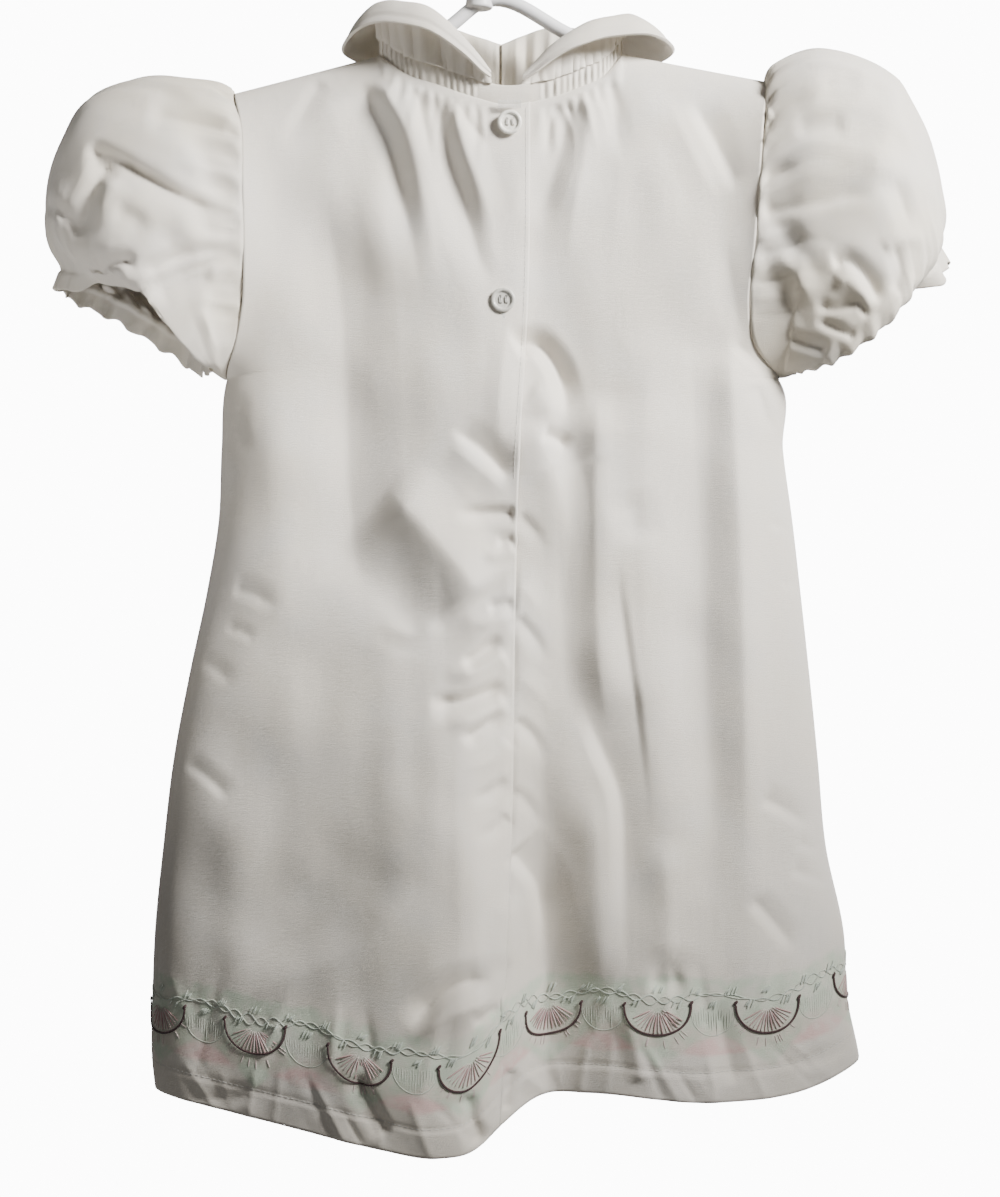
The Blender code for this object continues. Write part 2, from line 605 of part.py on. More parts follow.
def neck_line(points):
    """The part of a panel's top edge that lies on the neck, as a polyline."""
    edge, slack = points[0], 0.01
    return edge[(edge[:, 0] > NECK_LEFT - slack) & (edge[:, 0] < NECK_RIGHT + slack)]


def along_line(line, share):
    """Points at shares of a polyline's length."""
    length = np.concatenate([[0], np.cumsum(np.linalg.norm(np.diff(line, axis=0), axis=1))])
    return np.stack([np.interp(share * length[-1], length, line[:, k]) for k in range(3)], axis=-1)


def neck_band(name, side, line, columns, material):
    """Gathered casing that stands on a panel's neck edge. It lies flat beside the placket."""
    base = along_line(line, np.linspace(0, 1, columns + 1))
    flat = (base[:, 0] > TAB_FROM) & (base[:, 0] < TAB_TO) & (side == BACK)
    pleat = np.where(np.arange(columns + 1) % 2 == 0, 1.0, -1.0) * BAND_PLEAT
    pleat[flat] = 0
    pleat[[0, -1]] = 0
    grid = []
    for share in (0.0, 0.5, 1.0):
        row = base.copy()
        row[:, 2] += SEAM + BAND_HEIGHT * share
        row[:, 1] += side * pleat * np.sin(np.pi * (PLEAT_ENDS + (1 - 2 * PLEAT_ENDS) * share))
        grid.append(row)
    grid = np.array(grid)
    grid[..., 1] = side * np.maximum(grid[..., 1] * side, SEAM / 2)
    inner = inside(grid, WALL, (0, 0, grid[0, 0, 2]))
    inner[..., 1] = side * np.maximum(inner[..., 1] * side, SEAM / 2)
    inner[..., 2] = grid[..., 2]
    return cloth(name, grid, inner, material)


def collar(name, table, right, lines, material):
    """One half of the collar: a stand with soft folds, a roll and a short fall."""
    angles = column(table, "angle")
    angle = through(np.linspace(0, 1, COLLAR_COLUMNS), np.linspace(0, 1, len(angles)), angles)
    turn = 1 if right else -1
    middle = (NECK_LEFT + NECK_RIGHT) / 2
    half = (NECK_RIGHT - NECK_LEFT) / 2
    radians = np.radians(angle)
    x = middle + turn * half * np.sin(radians)
    base = np.zeros((len(angle), 3))
    for k, (place, degrees) in enumerate(zip(x, angle)):
        line = lines[BACK] if degrees < 90 else lines[FRONT]
        base[k] = [place, np.interp(place, line[:, 0], line[:, 1]), np.interp(place, line[:, 0], line[:, 2])]
    base[:, 2] += SEAM + BAND_HEIGHT + COLLAR_LIFT
    depth = np.where(angle < 90, NECK_DEPTH[BACK], NECK_DEPTH[FRONT])
    outward = np.stack([turn * np.sin(radians) / half, -np.cos(radians) / depth, 0 * radians], axis=-1)
    outward /= np.linalg.norm(outward, axis=1, keepdims=True)
    shape = {name: through(angle, angles, column(table, name)) for name in Roll._fields[1:]}
    out = np.stack([0 * angle, STAND_OUT * shape["roll_out"], shape["roll_out"],
                    (shape["roll_out"] + shape["edge_out"]) / 2 + FALL_OUT, shape["edge_out"]])
    up = np.stack([0 * angle, STAND_UP * shape["roll_up"], shape["roll_up"],
                   (shape["roll_up"] + shape["edge_up"]) / 2 + FALL_UP, shape["edge_up"]])
    folds = np.sin(np.linspace(0, 2 * np.pi * STAND_FOLDS, len(angle))) * STAND_FOLD_HEIGHT
    grid = []
    for q in np.linspace(0, 1, COLLAR_ROWS):
        out_q = np.array([through(q, ROLL_PLACES, out[:, k]) for k in range(len(angle))])
        up_q = np.array([through(q, ROLL_PLACES, up[:, k]) for k in range(len(angle))])
        out_q = out_q + folds * np.sin(np.pi * np.clip(q / ROLL, 0, 1))
        row = base + outward * out_q[:, None]
        row[:, 2] += up_q
        grid.append(row)
    grid = np.array(grid)
    inner = inside(grid, COLLAR_WALL, (middle, 0, grid[0, 0, 2]))
    inner[0, :, 2] = grid[0, :, 2]
    for face in (grid, inner):
        face[..., 0] = middle + turn * np.maximum((face[..., 0] - middle) * turn, SEAM)
    return cloth(name, grid, inner, material)


def button(name, place, over, material):
    """Four-hole button: a turned disc with a raised rim, lying on the left back."""
    r, t, e = BUTTON_RADIUS, BUTTON_THICK, BUTTON_ROUND
    profile = ((0, 0), (r - e, 0), (r, e), (r, t - e), (r - e, t), (r - BUTTON_RIM, t),
               (r - BUTTON_RIM - e, t - BUTTON_DISH), (0, t - BUTTON_DISH))
    bm = bmesh.new()
    previous = None
    for radius, height in profile:
        vert = bm.verts.new((radius * MM, 0, height * MM))
        if previous:
            bm.edges.new((previous, vert))
        previous = vert
    bmesh.ops.spin(bm, geom=bm.verts[:] + bm.edges[:], cent=(0, 0, 0), axis=(0, 0, 1), angle=2 * np.pi,
                   steps=24, use_merge=True)
    bmesh.ops.remove_doubles(bm, verts=bm.verts, dist=1e-6)
    bmesh.ops.recalc_face_normals(bm, faces=bm.faces[:])
    thing = finished(name, bm, material)
    x, drop = place
    near = np.abs(over[..., 0] - x) + np.abs(-over[..., 2] - drop)
    front_most = over[..., 1][near < BUTTON_REST].min()
    thing.location = (x * MM, (front_most - SEAM) * MM, -drop * MM)
    thing.rotation_euler = (np.pi / 2, 0, 0)
    for number, (dx, dz) in enumerate(((1, 1), (1, -1), (-1, -1), (-1, 1))):
        cutter = bmesh.new()
        bmesh.ops.create_cone(cutter, cap_ends=True, segments=10, radius1=BUTTON_HOLE_RADIUS * MM,
                              radius2=BUTTON_HOLE_RADIUS * MM, depth=4 * t * MM)
        bmesh.ops.translate(cutter, verts=cutter.verts, vec=(dx * BUTTON_HOLE_SPACING / 2 * MM,
                                                             dz * BUTTON_HOLE_SPACING / 2 * MM, 0))
        mesh = bpy.data.meshes.new(name + "_hole")
        cutter.to_mesh(mesh)
        cutter.free()
        hole = bpy.data.objects.new(f"{name}_hole_{number}", mesh)
        cutters.objects.link(hole)
        hole.location, hole.rotation_euler = thing.location, thing.rotation_euler
        hole.hide_render = True
        hole.display_type = "WIRE"
        cut = thing.modifiers.new("hole", "BOOLEAN")
        cut.operation, cut.object = "DIFFERENCE", hole
    return thing


def tube(name, path, radius, resolution, where):
    """A round rod along a path, as a mesh with welded caps."""
    curve = bpy.data.curves.new(name, "CURVE")
    curve.dimensions = "3D"
    curve.bevel_depth = radius * MM
    curve.bevel_resolution = resolution
    curve.use_fill_caps = True
    spline = curve.splines.new("POLY")
    spline.points.add(len(path) - 1)
    for point, place in zip(spline.points, path):
        point.co = (*(np.asarray(place) * MM), 1)
    guide = bpy.data.objects.new(name, curve)
    where.objects.link(guide)
    bpy.context.view_layer.update()
    mesh = bpy.data.meshes.new_from_object(guide.evaluated_get(bpy.context.evaluated_depsgraph_get()))
    bpy.data.objects.remove(guide)
    bm = bmesh.new()
    bm.from_mesh(mesh)
    bmesh.ops.remove_doubles(bm, verts=bm.verts, dist=1e-6)
    bmesh.ops.recalc_face_normals(bm, faces=bm.faces[:])
    bm.to_mesh(mesh)
    bm.free()
    thing = bpy.data.objects.new(name, mesh)
    where.objects.link(thing)
    return thing


def arm_drop(x):
    """Drop of an arm's centre line: under the shoulder seams, then up to the boss."""
    seat = (WALL + SEAM + ARM_RADIUS) * SEAT_SLOPE
    shoulder = top_drop(BACK, np.array(x, float)) + seat
    left, right = [NECK_LEFT - ARM_RISE, NECK_LEFT], [NECK_RIGHT, NECK_RIGHT + ARM_RISE]
    seats = [[float(top_drop(BACK, np.array(p, float))) + seat for p in ends] for ends in (left, right)]
    places = left + column(ARM_MIDDLE, "x") + right
    rise = through(np.array(x, float), places, seats[0] + column(ARM_MIDDLE, "drop") + seats[1])
    return np.where((x > NECK_LEFT) & (x < NECK_RIGHT), rise, shoulder)


def hook_path():
    """Shank up from the boss, an S bend, and a round hook whose inside top is the origin."""
    radius = HOOK_INSIDE + HOOK_RADIUS
    centre = HOOK_INSIDE
    foot = np.array([BOSS_X, 0, SHANK_STRAIGHT - BOSS_TOP])
    points = [(BOSS_X, 0, -BOSS_TOP - SHANK_IN_BOSS), tuple(foot)]
    start = np.radians(HOOK_FROM)
    joint = np.array([radius * np.cos(start), 0, -centre + radius * np.sin(start)])
    up = np.array([0, 0, SHANK_BEND])
    lean = np.array([-np.sin(start), 0, np.cos(start)]) * SHANK_BEND
    for u in np.linspace(0, 1, 9)[1:-1]:
        points.append(tuple(foot * (2 * u**3 - 3 * u**2 + 1) + up * (u**3 - 2 * u**2 + u)
                            + joint * (3 * u**2 - 2 * u**3) + lean * (u**3 - u**2)))
    for angle in np.linspace(start, np.radians(HOOK_TO), 22):
        points.append((radius * np.cos(angle), 0, -centre + radius * np.sin(angle)))
    return points


def hanger(material):
    """One piece of plastic: two arms, a boss and the hook."""
    x = np.concatenate([np.linspace(ARM_END_LEFT, NECK_LEFT, 7), np.linspace(NECK_LEFT, NECK_RIGHT, 15)[1:-1],
                        np.linspace(NECK_RIGHT, ARM_END_RIGHT, 7)])
    arms = tube("hanger", [(place, 0, -float(arm_drop(place))) for place in x], ARM_RADIUS, 2, parts)
    arms.data.materials.append(material)
    hook = tube("hanger_hook", hook_path(), HOOK_RADIUS, 2, cutters)
    boss_mesh = bpy.data.meshes.new("hanger_boss")
    bm = bmesh.new()
    bmesh.ops.create_cone(bm, cap_ends=True, segments=20, radius1=BOSS_RADIUS * MM,
                          radius2=BOSS_TIP_RADIUS * MM, depth=(BOSS_BOTTOM - BOSS_TOP) * MM)
    rims = [edge for edge in bm.edges if len(edge.link_faces) == 2 and edge.calc_face_angle() > 1]
    bmesh.ops.bevel(bm, geom=rims, offset=BOSS_ROUND * MM, segments=2, profile=0.5, affect="EDGES")
    bmesh.ops.translate(bm, verts=bm.verts, vec=(BOSS_X * MM, 0, -(BOSS_TOP + BOSS_BOTTOM) / 2 * MM))
    bm.to_mesh(boss_mesh)
    bm.free()
    boss = bpy.data.objects.new("hanger_boss", boss_mesh)
    cutters.objects.link(boss)
    for other in (hook, boss):
        other.hide_render = True
        other.display_type = "WIRE"
        join = arms.modifiers.new(other.name, "BOOLEAN")
        join.operation, join.object = "UNION", other
    arms.data.shade_smooth()
    return arms


def plain_material(name, colour, roughness):
    material = bpy.data.materials.new(name)
    material.use_nodes = True
    shader = material.node_tree.nodes["Principled BSDF"]
    shader.inputs["Base Color"].default_value = (*colour, 1)
    shader.inputs["Roughness"].default_value = roughness
    shader.inputs["Metallic"].default_value = 0
    return material


def fabric(node):
    return plain_material(node + "_cloth", WHITE_CLOTH, CLOTH_ROUGHNESS)


for thing in list(bpy.data.objects):
    bpy.data.objects.remove(thing)
parts = bpy.data.collections.new("toddler_dress")
cutters = bpy.data.collections.new("cutters")
for collection in (parts, cutters):
    bpy.context.scene.collection.children.link(collection)

down_rows = row_places()
left_back = left_back_points(down_rows)
right_back = right_back_points(down_rows)
front = front_points(down_rows)
panel("back_left", BACK, left_back, fabric("back_left"))
panel("back_right", BACK, right_back, fabric("back_right"))
panel("front", FRONT, front, fabric("front"))
sleeve("sleeve_left", LEFT_RINGS, False, LEFT_FREE, LEFT_LEAN, fabric("sleeve_left"))
sleeve("sleeve_right", RIGHT_RINGS, True, RIGHT_FREE, RIGHT_LEAN, fabric("sleeve_right"))

left_line, right_line, front_line = neck_line(left_back), neck_line(right_back), neck_line(front)
neck_band("neck_band_left", BACK, left_line, LEFT_PLEATS, fabric("neck_band_left"))
neck_band("neck_band_right", BACK, right_line, RIGHT_PLEATS, fabric("neck_band_right"))
neck_band("neck_band_front", FRONT, front_line, FRONT_PLEATS, fabric("neck_band_front"))
collar("collar_left", LEFT_COLLAR, False, {BACK: left_line, FRONT: front_line}, fabric("collar_left"))
collar("collar_right", RIGHT_COLLAR, True, {BACK: right_line, FRONT: front_line}, fabric("collar_right"))
button("button_top", BUTTON_TOP, left_back, plain_material("button_top_plastic", PEARL, PEARL_ROUGHNESS))
button("button_low", BUTTON_LOW, left_back, plain_material("button_low_plastic", LOW_PEARL, PEARL_ROUGHNESS))
hanger(plain_material("hanger_plastic", MILKY, MILKY_ROUGHNESS))
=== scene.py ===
"""Toddler dress with puff sleeves on a plastic hanger, seen from its buttoned back.

Sizes are in millimetres and become metres when a mesh is made. +X runs to the right as the back is
seen, +Z is up, the back faces -Y, and "drop" is the distance below the inside of the hanger's hook.
"""

from collections import namedtuple

import bmesh
import bpy
import numpy as np
from mathutils import Matrix, Vector


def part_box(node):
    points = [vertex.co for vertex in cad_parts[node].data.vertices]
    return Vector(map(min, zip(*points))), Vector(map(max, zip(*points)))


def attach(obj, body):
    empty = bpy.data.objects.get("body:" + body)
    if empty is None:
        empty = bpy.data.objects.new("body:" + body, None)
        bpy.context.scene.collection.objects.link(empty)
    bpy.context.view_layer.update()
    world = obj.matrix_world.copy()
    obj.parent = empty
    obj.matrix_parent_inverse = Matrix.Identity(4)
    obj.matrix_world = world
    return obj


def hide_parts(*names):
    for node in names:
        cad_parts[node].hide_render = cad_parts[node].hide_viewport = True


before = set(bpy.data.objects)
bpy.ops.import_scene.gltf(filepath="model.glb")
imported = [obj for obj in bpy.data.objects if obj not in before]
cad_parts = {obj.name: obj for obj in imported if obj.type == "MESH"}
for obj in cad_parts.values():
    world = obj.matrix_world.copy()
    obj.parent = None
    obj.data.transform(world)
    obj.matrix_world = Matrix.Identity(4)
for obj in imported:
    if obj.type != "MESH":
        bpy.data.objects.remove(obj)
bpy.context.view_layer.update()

# ---------------------------------------------------------------------------------------------
# Camera: level with the middle of the dress and square to its back. Its lens follows from how much
# height it takes in at the dress.
# ---------------------------------------------------------------------------------------------
MM = 0.001
AIM = Vector((4.6, 0, -336.5))
CAMERA_DISTANCE = 1100.0
VIEW_HEIGHT = 550.6  # height of the frame at the dress
SENSOR = 36.0


def in_scene(name, data):
    """A new object that holds the data, linked to the scene."""
    thing = bpy.data.objects.new(name, data)
    bpy.context.collection.objects.link(thing)
    return thing


camera = in_scene("camera", bpy.data.cameras.new("camera"))
camera.location = (AIM - Vector((0, CAMERA_DISTANCE, 0))) * MM
camera.rotation_euler = (np.pi / 2, 0, 0)
camera.data.sensor_width = SENSOR
camera.data.lens = SENSOR * CAMERA_DISTANCE / VIEW_HEIGHT
bpy.context.scene.camera = camera


# ---------------------------------------------------------------------------------------------
# Body: crisp off-white cotton in three panels, two at the back and one at the front, seamed at the
# shoulders and sides. The left back laps over the right one at the placket, and below it a puckered
# seam runs down to the turned-up hem. Each panel is a grid of points with its creases laid on.
# ---------------------------------------------------------------------------------------------
BACK, FRONT = -1.0, 1.0  # the way each side faces along Y
SEAM = 0.3  # gap between the two faces of a seam
CLOTH = 0.7
HEM_HEIGHT = 13.0
UNDERARM_DROP = 236.0
ARMHOLE_DEPTH = 24.0
SIDE_ROUND, ARM_ROUND = 3.0, 8.0  # a higher power keeps a panel full closer to its side
SHOULDER_ROUND = 30.0
NECK_FLATTENS = 60.0  # the neck's oval gives way to the body's section over this drop

Section = namedtuple("Section", "drop left right back front")
BODY = (
    Section(99, -119.5, 127.0, 19, 20),
    Section(120, -113.5, 124.0, 22, 22),
    Section(150, -111.5, 121.5, 24, 24),
    Section(180, -110.8, 119.0, 26, 25),
    Section(205, -112.0, 117.0, 27, 26),
    Section(222, -116.0, 120.5, 28, 26),
    Section(236, -121.0, 133.0, 29, 27),
    Section(268, -123.5, 134.8, 31, 28),
    Section(300, -124.8, 139.0, 32, 29),
    Section(335, -130.5, 143.0, 34, 30),
    Section(370, -138.0, 146.8, 36, 31),
    Section(410, -145.5, 150.8, 38, 32),
    Section(450, -150.3, 154.5, 40, 33),
    Section(490, -154.2, 162.8, 42, 34),
    Section(520, -155.3, 164.5, 43, 35),
    Section(548, -155.5, 170.0, 44, 36),
    Section(566, -153.5, 171.5, 44, 36),
)
TopEdge = namedtuple("TopEdge", "x back_drop front_drop")
TOP = (
    TopEdge(-119.5, 105.0, 105.0),
    TopEdge(-51.0, 87.0, 87.0),
    TopEdge(-39.0, 97.0, 96.0),
    TopEdge(-23.0, 103.5, 101.0),
    TopEdge(-8.0, 109.0, 105.0),
    TopEdge(6.0, 112.5, 106.5),
    TopEdge(24.0, 110.0, 105.0),
    TopEdge(42.0, 103.5, 100.0),
    TopEdge(52.0, 98.0, 95.0),
    TopEdge(61.0, 86.5, 86.5),
    TopEdge(127.0, 99.0, 99.0),
)
NECK_LEFT, NECK_RIGHT = -51.0, 61.0
NECK_MIDDLE, NECK_HALF = (NECK_LEFT + NECK_RIGHT) / 2, (NECK_RIGHT - NECK_LEFT) / 2
NECK_DEPTH = {BACK: 17.0, FRONT: 20.0}
HemEdge = namedtuple("HemEdge", "x back_drop front_drop")
HEM = (
    HemEdge(-155.0, 560.0, 560.0),
    HemEdge(-131.0, 563.5, 561.0),
    HemEdge(-84.0, 571.0, 559.0),
    HemEdge(-50.0, 576.5, 556.0),
    HemEdge(-22.0, 579.5, 555.0),
    HemEdge(-6.0, 576.5, 556.0),
    HemEdge(5.0, 568.5, 557.0),
    HemEdge(18.0, 560.5, 558.0),
    HemEdge(45.0, 557.0, 557.0),
    HemEdge(100.0, 560.0, 553.0),
    HemEdge(145.0, 556.0, 549.0),
    HemEdge(171.0, 546.5, 546.5),
)
CentreLine = namedtuple("CentreLine", "drop x")
CENTRE_BACK = (
    CentreLine(100, 18.4),
    CentreLine(200, 17.4),
    CentreLine(282, 12.9),
    CentreLine(340, 11.5),
    CentreLine(430, 10.1),
    CentreLine(520, 6.9),
    CentreLine(580, 4.2),
)
UNDERLAP = 16.0
UNDERLAP_DEPTH = 1.7
UNDERLAP_CLEAR, UNDERLAP_BLEND = 2.0, 30.0  # from the centre back to where it starts to rise, and its rise
PLACKET_TOP, PLACKET_END = 110.0, 278.0
PLACKET_FADE = 26.0
PLACKET_MIDDLE = 12.0  # x at which the placket's drops are measured
SEAM_SETTLES = 34.0  # the two halves come together over this drop below the placket
SEAM_LAP = 2.5  # below the placket the right back runs on this far under the left one
SEAM_SINK = 1.0
SEAM_ROLL, SEAM_ROLL_SHARE = 4.5, 0.85  # how far the left half turns in towards the seam

# A crease follows a curved path of (x, drop) points as the camera sees them. Its height is above 0
# for a ridge, its half widths are to the left and right of a path that runs down (below and above
# one that runs to the right), and it fades in and out over shares of its length. A low softness
# keeps its line crisp.
Crease = namedtuple("Crease", "path left right height fade_in fade_out soft", defaults=(0.35, 0.35, 0.15))
BACK_CREASES = (
    # from the neck casing down the left half
    Crease(((-61, 97), (-49, 121), (-41, 150), (-35, 178), (-30, 207)), 9, 4, -4.4, 0.1, 0.6, 0.3),
    Crease(((-52, 97), (-38, 122), (-30, 152), (-24, 182)), 5, 7, 3.1, 0.15, 0.5),
    Crease(((-25, 104), (-21, 126), (-12, 154), (-5, 180), (4, 192)), 6, 3.5, -3.2, 0.1, 0.4, 0.3),
    Crease(((-17, 106), (-12, 128), (-3, 152), (4, 178)), 4, 5, 2.4, 0.1, 0.4),
    Crease(((-34, 102), (-30, 120), (-26, 140)), 3, 2, -1.9, 0.1, 0.6),
    Crease(((-15, 108), (-8, 120), (2, 130)), 2.5, 2, -1.7, 0.1, 0.5),
    Crease(((-77, 97), (-87, 114), (-97, 131)), 3, 4, -1.7, 0.15, 0.5),
    Crease(((-80, 143), (-75, 164), (-70, 192), (-67, 236), (-66, 280), (-62, 319), (-56, 345)),
           18, 13, -5.6, 0.3, 0.3),
    Crease(((-96, 150), (-98, 220), (-98, 330), (-96, 420)), 14, 16, 3.0, 0.35, 0.35, 0.7),
    Crease(((-113, 240), (-116, 256), (-112, 272)), 6, 3, -2.1, 0.3, 0.3, 0.4),
    Crease(((-119, 332), (-108, 335), (-96, 342)), 3, 5, -1.9, 0.2, 0.4),
    Crease(((-122, 350), (-114, 352), (-107, 356)), 2, 3, -1.3, 0.2, 0.4),
    Crease(((-134, 365), (-126, 369), (-118, 377)), 2.5, 4, -1.7, 0.2, 0.4),
    # under the lower button and down the placket
    Crease(((-18, 258), (-4, 268), (10, 282)), 2.2, 6, -3.1, 0.3, 0.2),
    Crease(((-20, 265), (-6, 276), (8, 289)), 5, 4, 1.9, 0.3, 0.3),
    Crease(((-50, 286), (-38, 296), (-26, 309), (-14, 323), (-3, 337)), 17, 11, 7.4, 0.25, 0.12, 0.2),
    Crease(((-62, 322), (-46, 338), (-26, 346), (-8, 344)), 9, 12, -2.2, 0.4, 0.3, 0.8),
    Crease(((-53, 346), (-36, 353), (-22, 346)), 4, 5, 1.6, 0.4, 0.3),
    Crease(((8, 206), (6, 226), (4, 250), (5, 272)), 4, 5, 1.2),
    # centre back seam, left of it
    Crease(((-17, 298), (-2, 297), (12, 297)), 3.4, 2.4, -3.2, 0.4, 0.1),
    Crease(((2, 310), (7, 310), (12, 308)), 3.4, 2.4, -2.1, 0.4, 0.3),
    Crease(((-4, 318), (4, 316), (11, 313)), 3, 2.4, 1.7, 0.4, 0.1),
    Crease(((-14, 345), (-2, 348), (10, 340)), 5, 3, 2.1, 0.6, 0.25),
    Crease(((-2, 341), (5, 340), (12, 338)), 3.4, 2.4, -2.6, 0.3, 0.3),
    Crease(((-13, 368), (-5, 362), (6, 353)), 3.5, 2.2, -3.6, 0.3, 0.3),
    Crease(((-22, 371), (-8, 370), (8, 362)), 5, 3, 2.2, 0.5, 0.1),
    Crease(((-28, 384), (-14, 384), (-2, 380), (8, 375)), 5, 2.8, -4.6, 0.2, 0.3),
    Crease(((-22, 392), (-10, 391), (8, 383)), 4, 4, 2.2, 0.5, 0.1),
    Crease(((-13, 402), (-4, 396), (8, 387)), 3.5, 2.2, -3.6, 0.3, 0.35),
    Crease(((-14, 415), (0, 411), (9, 402)), 4, 3, 1.4, 0.6, 0.1),
    Crease(((-10, 428), (0, 425), (9, 418)), 3.4, 2.4, -2.6, 0.5, 0.3),
    Crease(((-8, 446), (2, 442), (8, 436)), 3.4, 2.4, -2.0, 0.6, 0.1),
    # centre back seam, right of it
    Crease(((13, 298), (20, 305), (27, 316)), 3.4, 2.4, -1.4, 0.1, 0.6),
    Crease(((13, 330), (20, 338), (27, 350)), 4, 4, 0.8, 0.1, 0.6),
    Crease(((12, 345), (20, 354), (28, 368)), 3.4, 2.4, -1.8, 0.1, 0.6),
    Crease(((12, 372), (22, 380), (30, 394)), 4, 4, 0.8, 0.1, 0.6),
    Crease(((11, 392), (20, 400), (26, 414)), 3.4, 2.4, -1.8, 0.1, 0.6),
    Crease(((10, 424), (18, 432), (24, 444)), 3.4, 2.4, -1.2, 0.1, 0.6),
    # right half: hooked fold from the placket, its long valley with a crisp crest, and the sharp
    # crease beside it
    Crease(((11, 222), (17, 219), (23, 220), (29, 227), (33, 236), (35, 247), (35, 258)),
           3.4, 4.6, -6.8, 0.1, 0.4, 0.25),
    Crease(((18, 238), (23, 242), (26, 249), (27, 258)), 6, 4, 2.2, 0.35, 0.4, 0.6),
    Crease(((24, 261), (30, 263), (37, 268)), 2.2, 3.2, -3.7, 0.15, 0.35),
    Crease(((16, 252), (24, 268), (31, 287), (33, 312), (33, 340)), 9, 6, 4.3, 0.2, 0.45, 0.5),
    Crease(((50, 240), (49.5, 262), (49, 291), (49.5, 337), (52, 376), (57, 400)),
           8.5, 22, 6.0, 0.2, 0.3, 0.15),
    Crease(((34, 250), (35, 291), (35, 337), (38, 376), (45, 405)), 9, 8, -2.6, 0.15, 0.35, 0.6),
    Crease(((40, 378), (51, 404), (60, 427), (62, 455), (62, 512)), 3.4, 10, -4.2, 0.35, 0.4, 0.3),
    Crease(((45, 420), (48, 450), (50, 490), (51, 520)), 8, 6, 3.5, 0.3, 0.3, 0.5),
    Crease(((58, 316), (61.5, 346), (65.5, 374), (68, 390), (74, 450)), 8, 1.7, -2.0, 0.3, 0.3, 0.1),
    Crease(((62, 285), (66, 300), (68, 314)), 5, 6, -2.1, 0.4, 0.4, 0.7),
    Crease(((80, 445), (82, 475), (82, 508)), 6, 9, 3.1, 0.3, 0.2, 0.4),
    Crease(((72, 512), (81, 514), (91, 511)), 3, 5, -3.0, 0.3, 0.3, 0.4),
    Crease(((109, 192), (112, 254), (115, 310), (117, 383), (118, 431), (119, 490)), 9, 12, 5.6, 0.15, 0.35),
    Crease(((104, 199), (100, 254), (99, 337), (100, 383), (102, 431), (102, 509)),
           12, 9, -5.6, 0.2, 0.3, 0.6),
    Crease(((38, 105), (33, 128), (25, 153), (23, 166)), 6, 4, -2.8, 0.1, 0.5, 0.4),
    Crease(((48, 104), (44, 130), (38, 160), (36, 190)), 6, 8, 2.4, 0.1, 0.5),
    Crease(((30, 108), (27, 122), (25, 138)), 2.5, 2, -1.9, 0.1, 0.6),
    Crease(((55, 98), (58, 118), (62, 140)), 4, 4, -1.9, 0.1, 0.6),
    Crease(((92, 106), (104, 126), (115, 149)), 3, 6, -3.5, 0.3, 0.15),
    Crease(((80, 104), (92, 130), (108, 160)), 6, 6, 1.7, 0.3, 0.3),
    Crease(((108, 170), (112, 196), (118, 222)), 5, 4, -2.2),
    Crease(((112, 218), (121, 226), (134, 236)), 2.6, 4, -3.0, 0.2, 0.1),
    Crease(((122, 237), (126, 248), (131, 262)), 4, 2.6, -2.6, 0.2, 0.3),
    Crease(((128, 300), (133, 303), (140, 303)), 2, 3, -1.4, 0.3, 0.2),
    Crease(((133, 328), (138, 330), (143, 329)), 2, 3, -1.4, 0.3, 0.2),
    Crease(((124, 428), (136, 434), (149, 442)), 2.6, 5, -2.8, 0.2, 0.3),
    Crease(((141, 449), (148, 451), (155, 451)), 2, 3, -1.7, 0.2, 0.3),
    Crease(((138, 461), (147, 464), (157, 468)), 2.4, 4, -2.2, 0.2, 0.3),
    Crease(((120, 474), (130, 485), (142, 500)), 3, 5, -2.8, 0.2, 0.3),
    # the skirt's big waves at the hem
    Crease(((-20, 320), (-17, 400), (-16, 470), (-15, 540), (-14, 640)), 54, 18, 19.0, 0.4, 0.01, 0.5),
    Crease(((26, 400), (27, 460), (28, 520), (31, 580), (36, 640)), 14, 18, -14.0, 0.5, 0.01, 0.6),
    Crease(((-141, 411), (-130, 419), (-119, 430)), 2.2, 4, -2.4, 0.2, 0.3),
    Crease(((-133, 424), (-131, 470), (-130, 530)), 9, 8, -1.4, 0.3, 0.3, 0.6),
    Crease(((-120, 424), (-119, 470), (-117, 528)), 7, 9, 1.0, 0.3, 0.3, 0.6),
    Crease(((-119, 525), (-90, 510), (-63, 497), (-46, 481), (-31, 463)), 9, 7, 3.5, 0.3, 0.3, 0.4),
    Crease(((-88, 350), (-86, 400), (-82, 450), (-78, 500), (-76, 540)), 26, 24, -4.5, 0.35, 0.35, 0.7),
    Crease(((-37, 532), (-24, 518), (-11, 511), (3, 510)), 3, 6, -5.6, 0.25, 0.3),
    Crease(((-38, 540), (-22, 527), (-8, 521), (4, 519)), 5, 4, 3.0, 0.3, 0.3),
    Crease(((-8, 530), (-2, 526), (5, 522)), 2.2, 3, -2.6, 0.3, 0.3),
    Crease(((9, 453), (16, 461), (21, 470), (23, 484), (24, 506)), 2.4, 9, -4.8, 0.08, 0.4),
    Crease(((10, 470), (8, 490), (6, 508)), 5, 5, 2.6, 0.3, 0.3),
    Crease(((-140, 566), (-120, 566), (-102, 562)), 3, 4, -2.2, 0.2, 0.3),
    Crease(((-61, 552), (-54, 565), (-46, 580)), 5, 2.6, -3.1, 0.2, 0.1),
    Crease(((-11, 560), (-8, 572), (-4, 584)), 4, 3, -3.9, 0.2, 0.1),
    Crease(((10, 553), (8, 562), (7, 572)), 2.4, 2.4, -3.1, 0.1, 0.1),
    Crease(((140, 553), (158, 546), (171, 538)), 2.4, 4, -2.8, 0.2, 0.1),
    Crease(((104, 520), (108, 540), (113, 560)), 5, 4, -2.2, 0.3, 0.1),
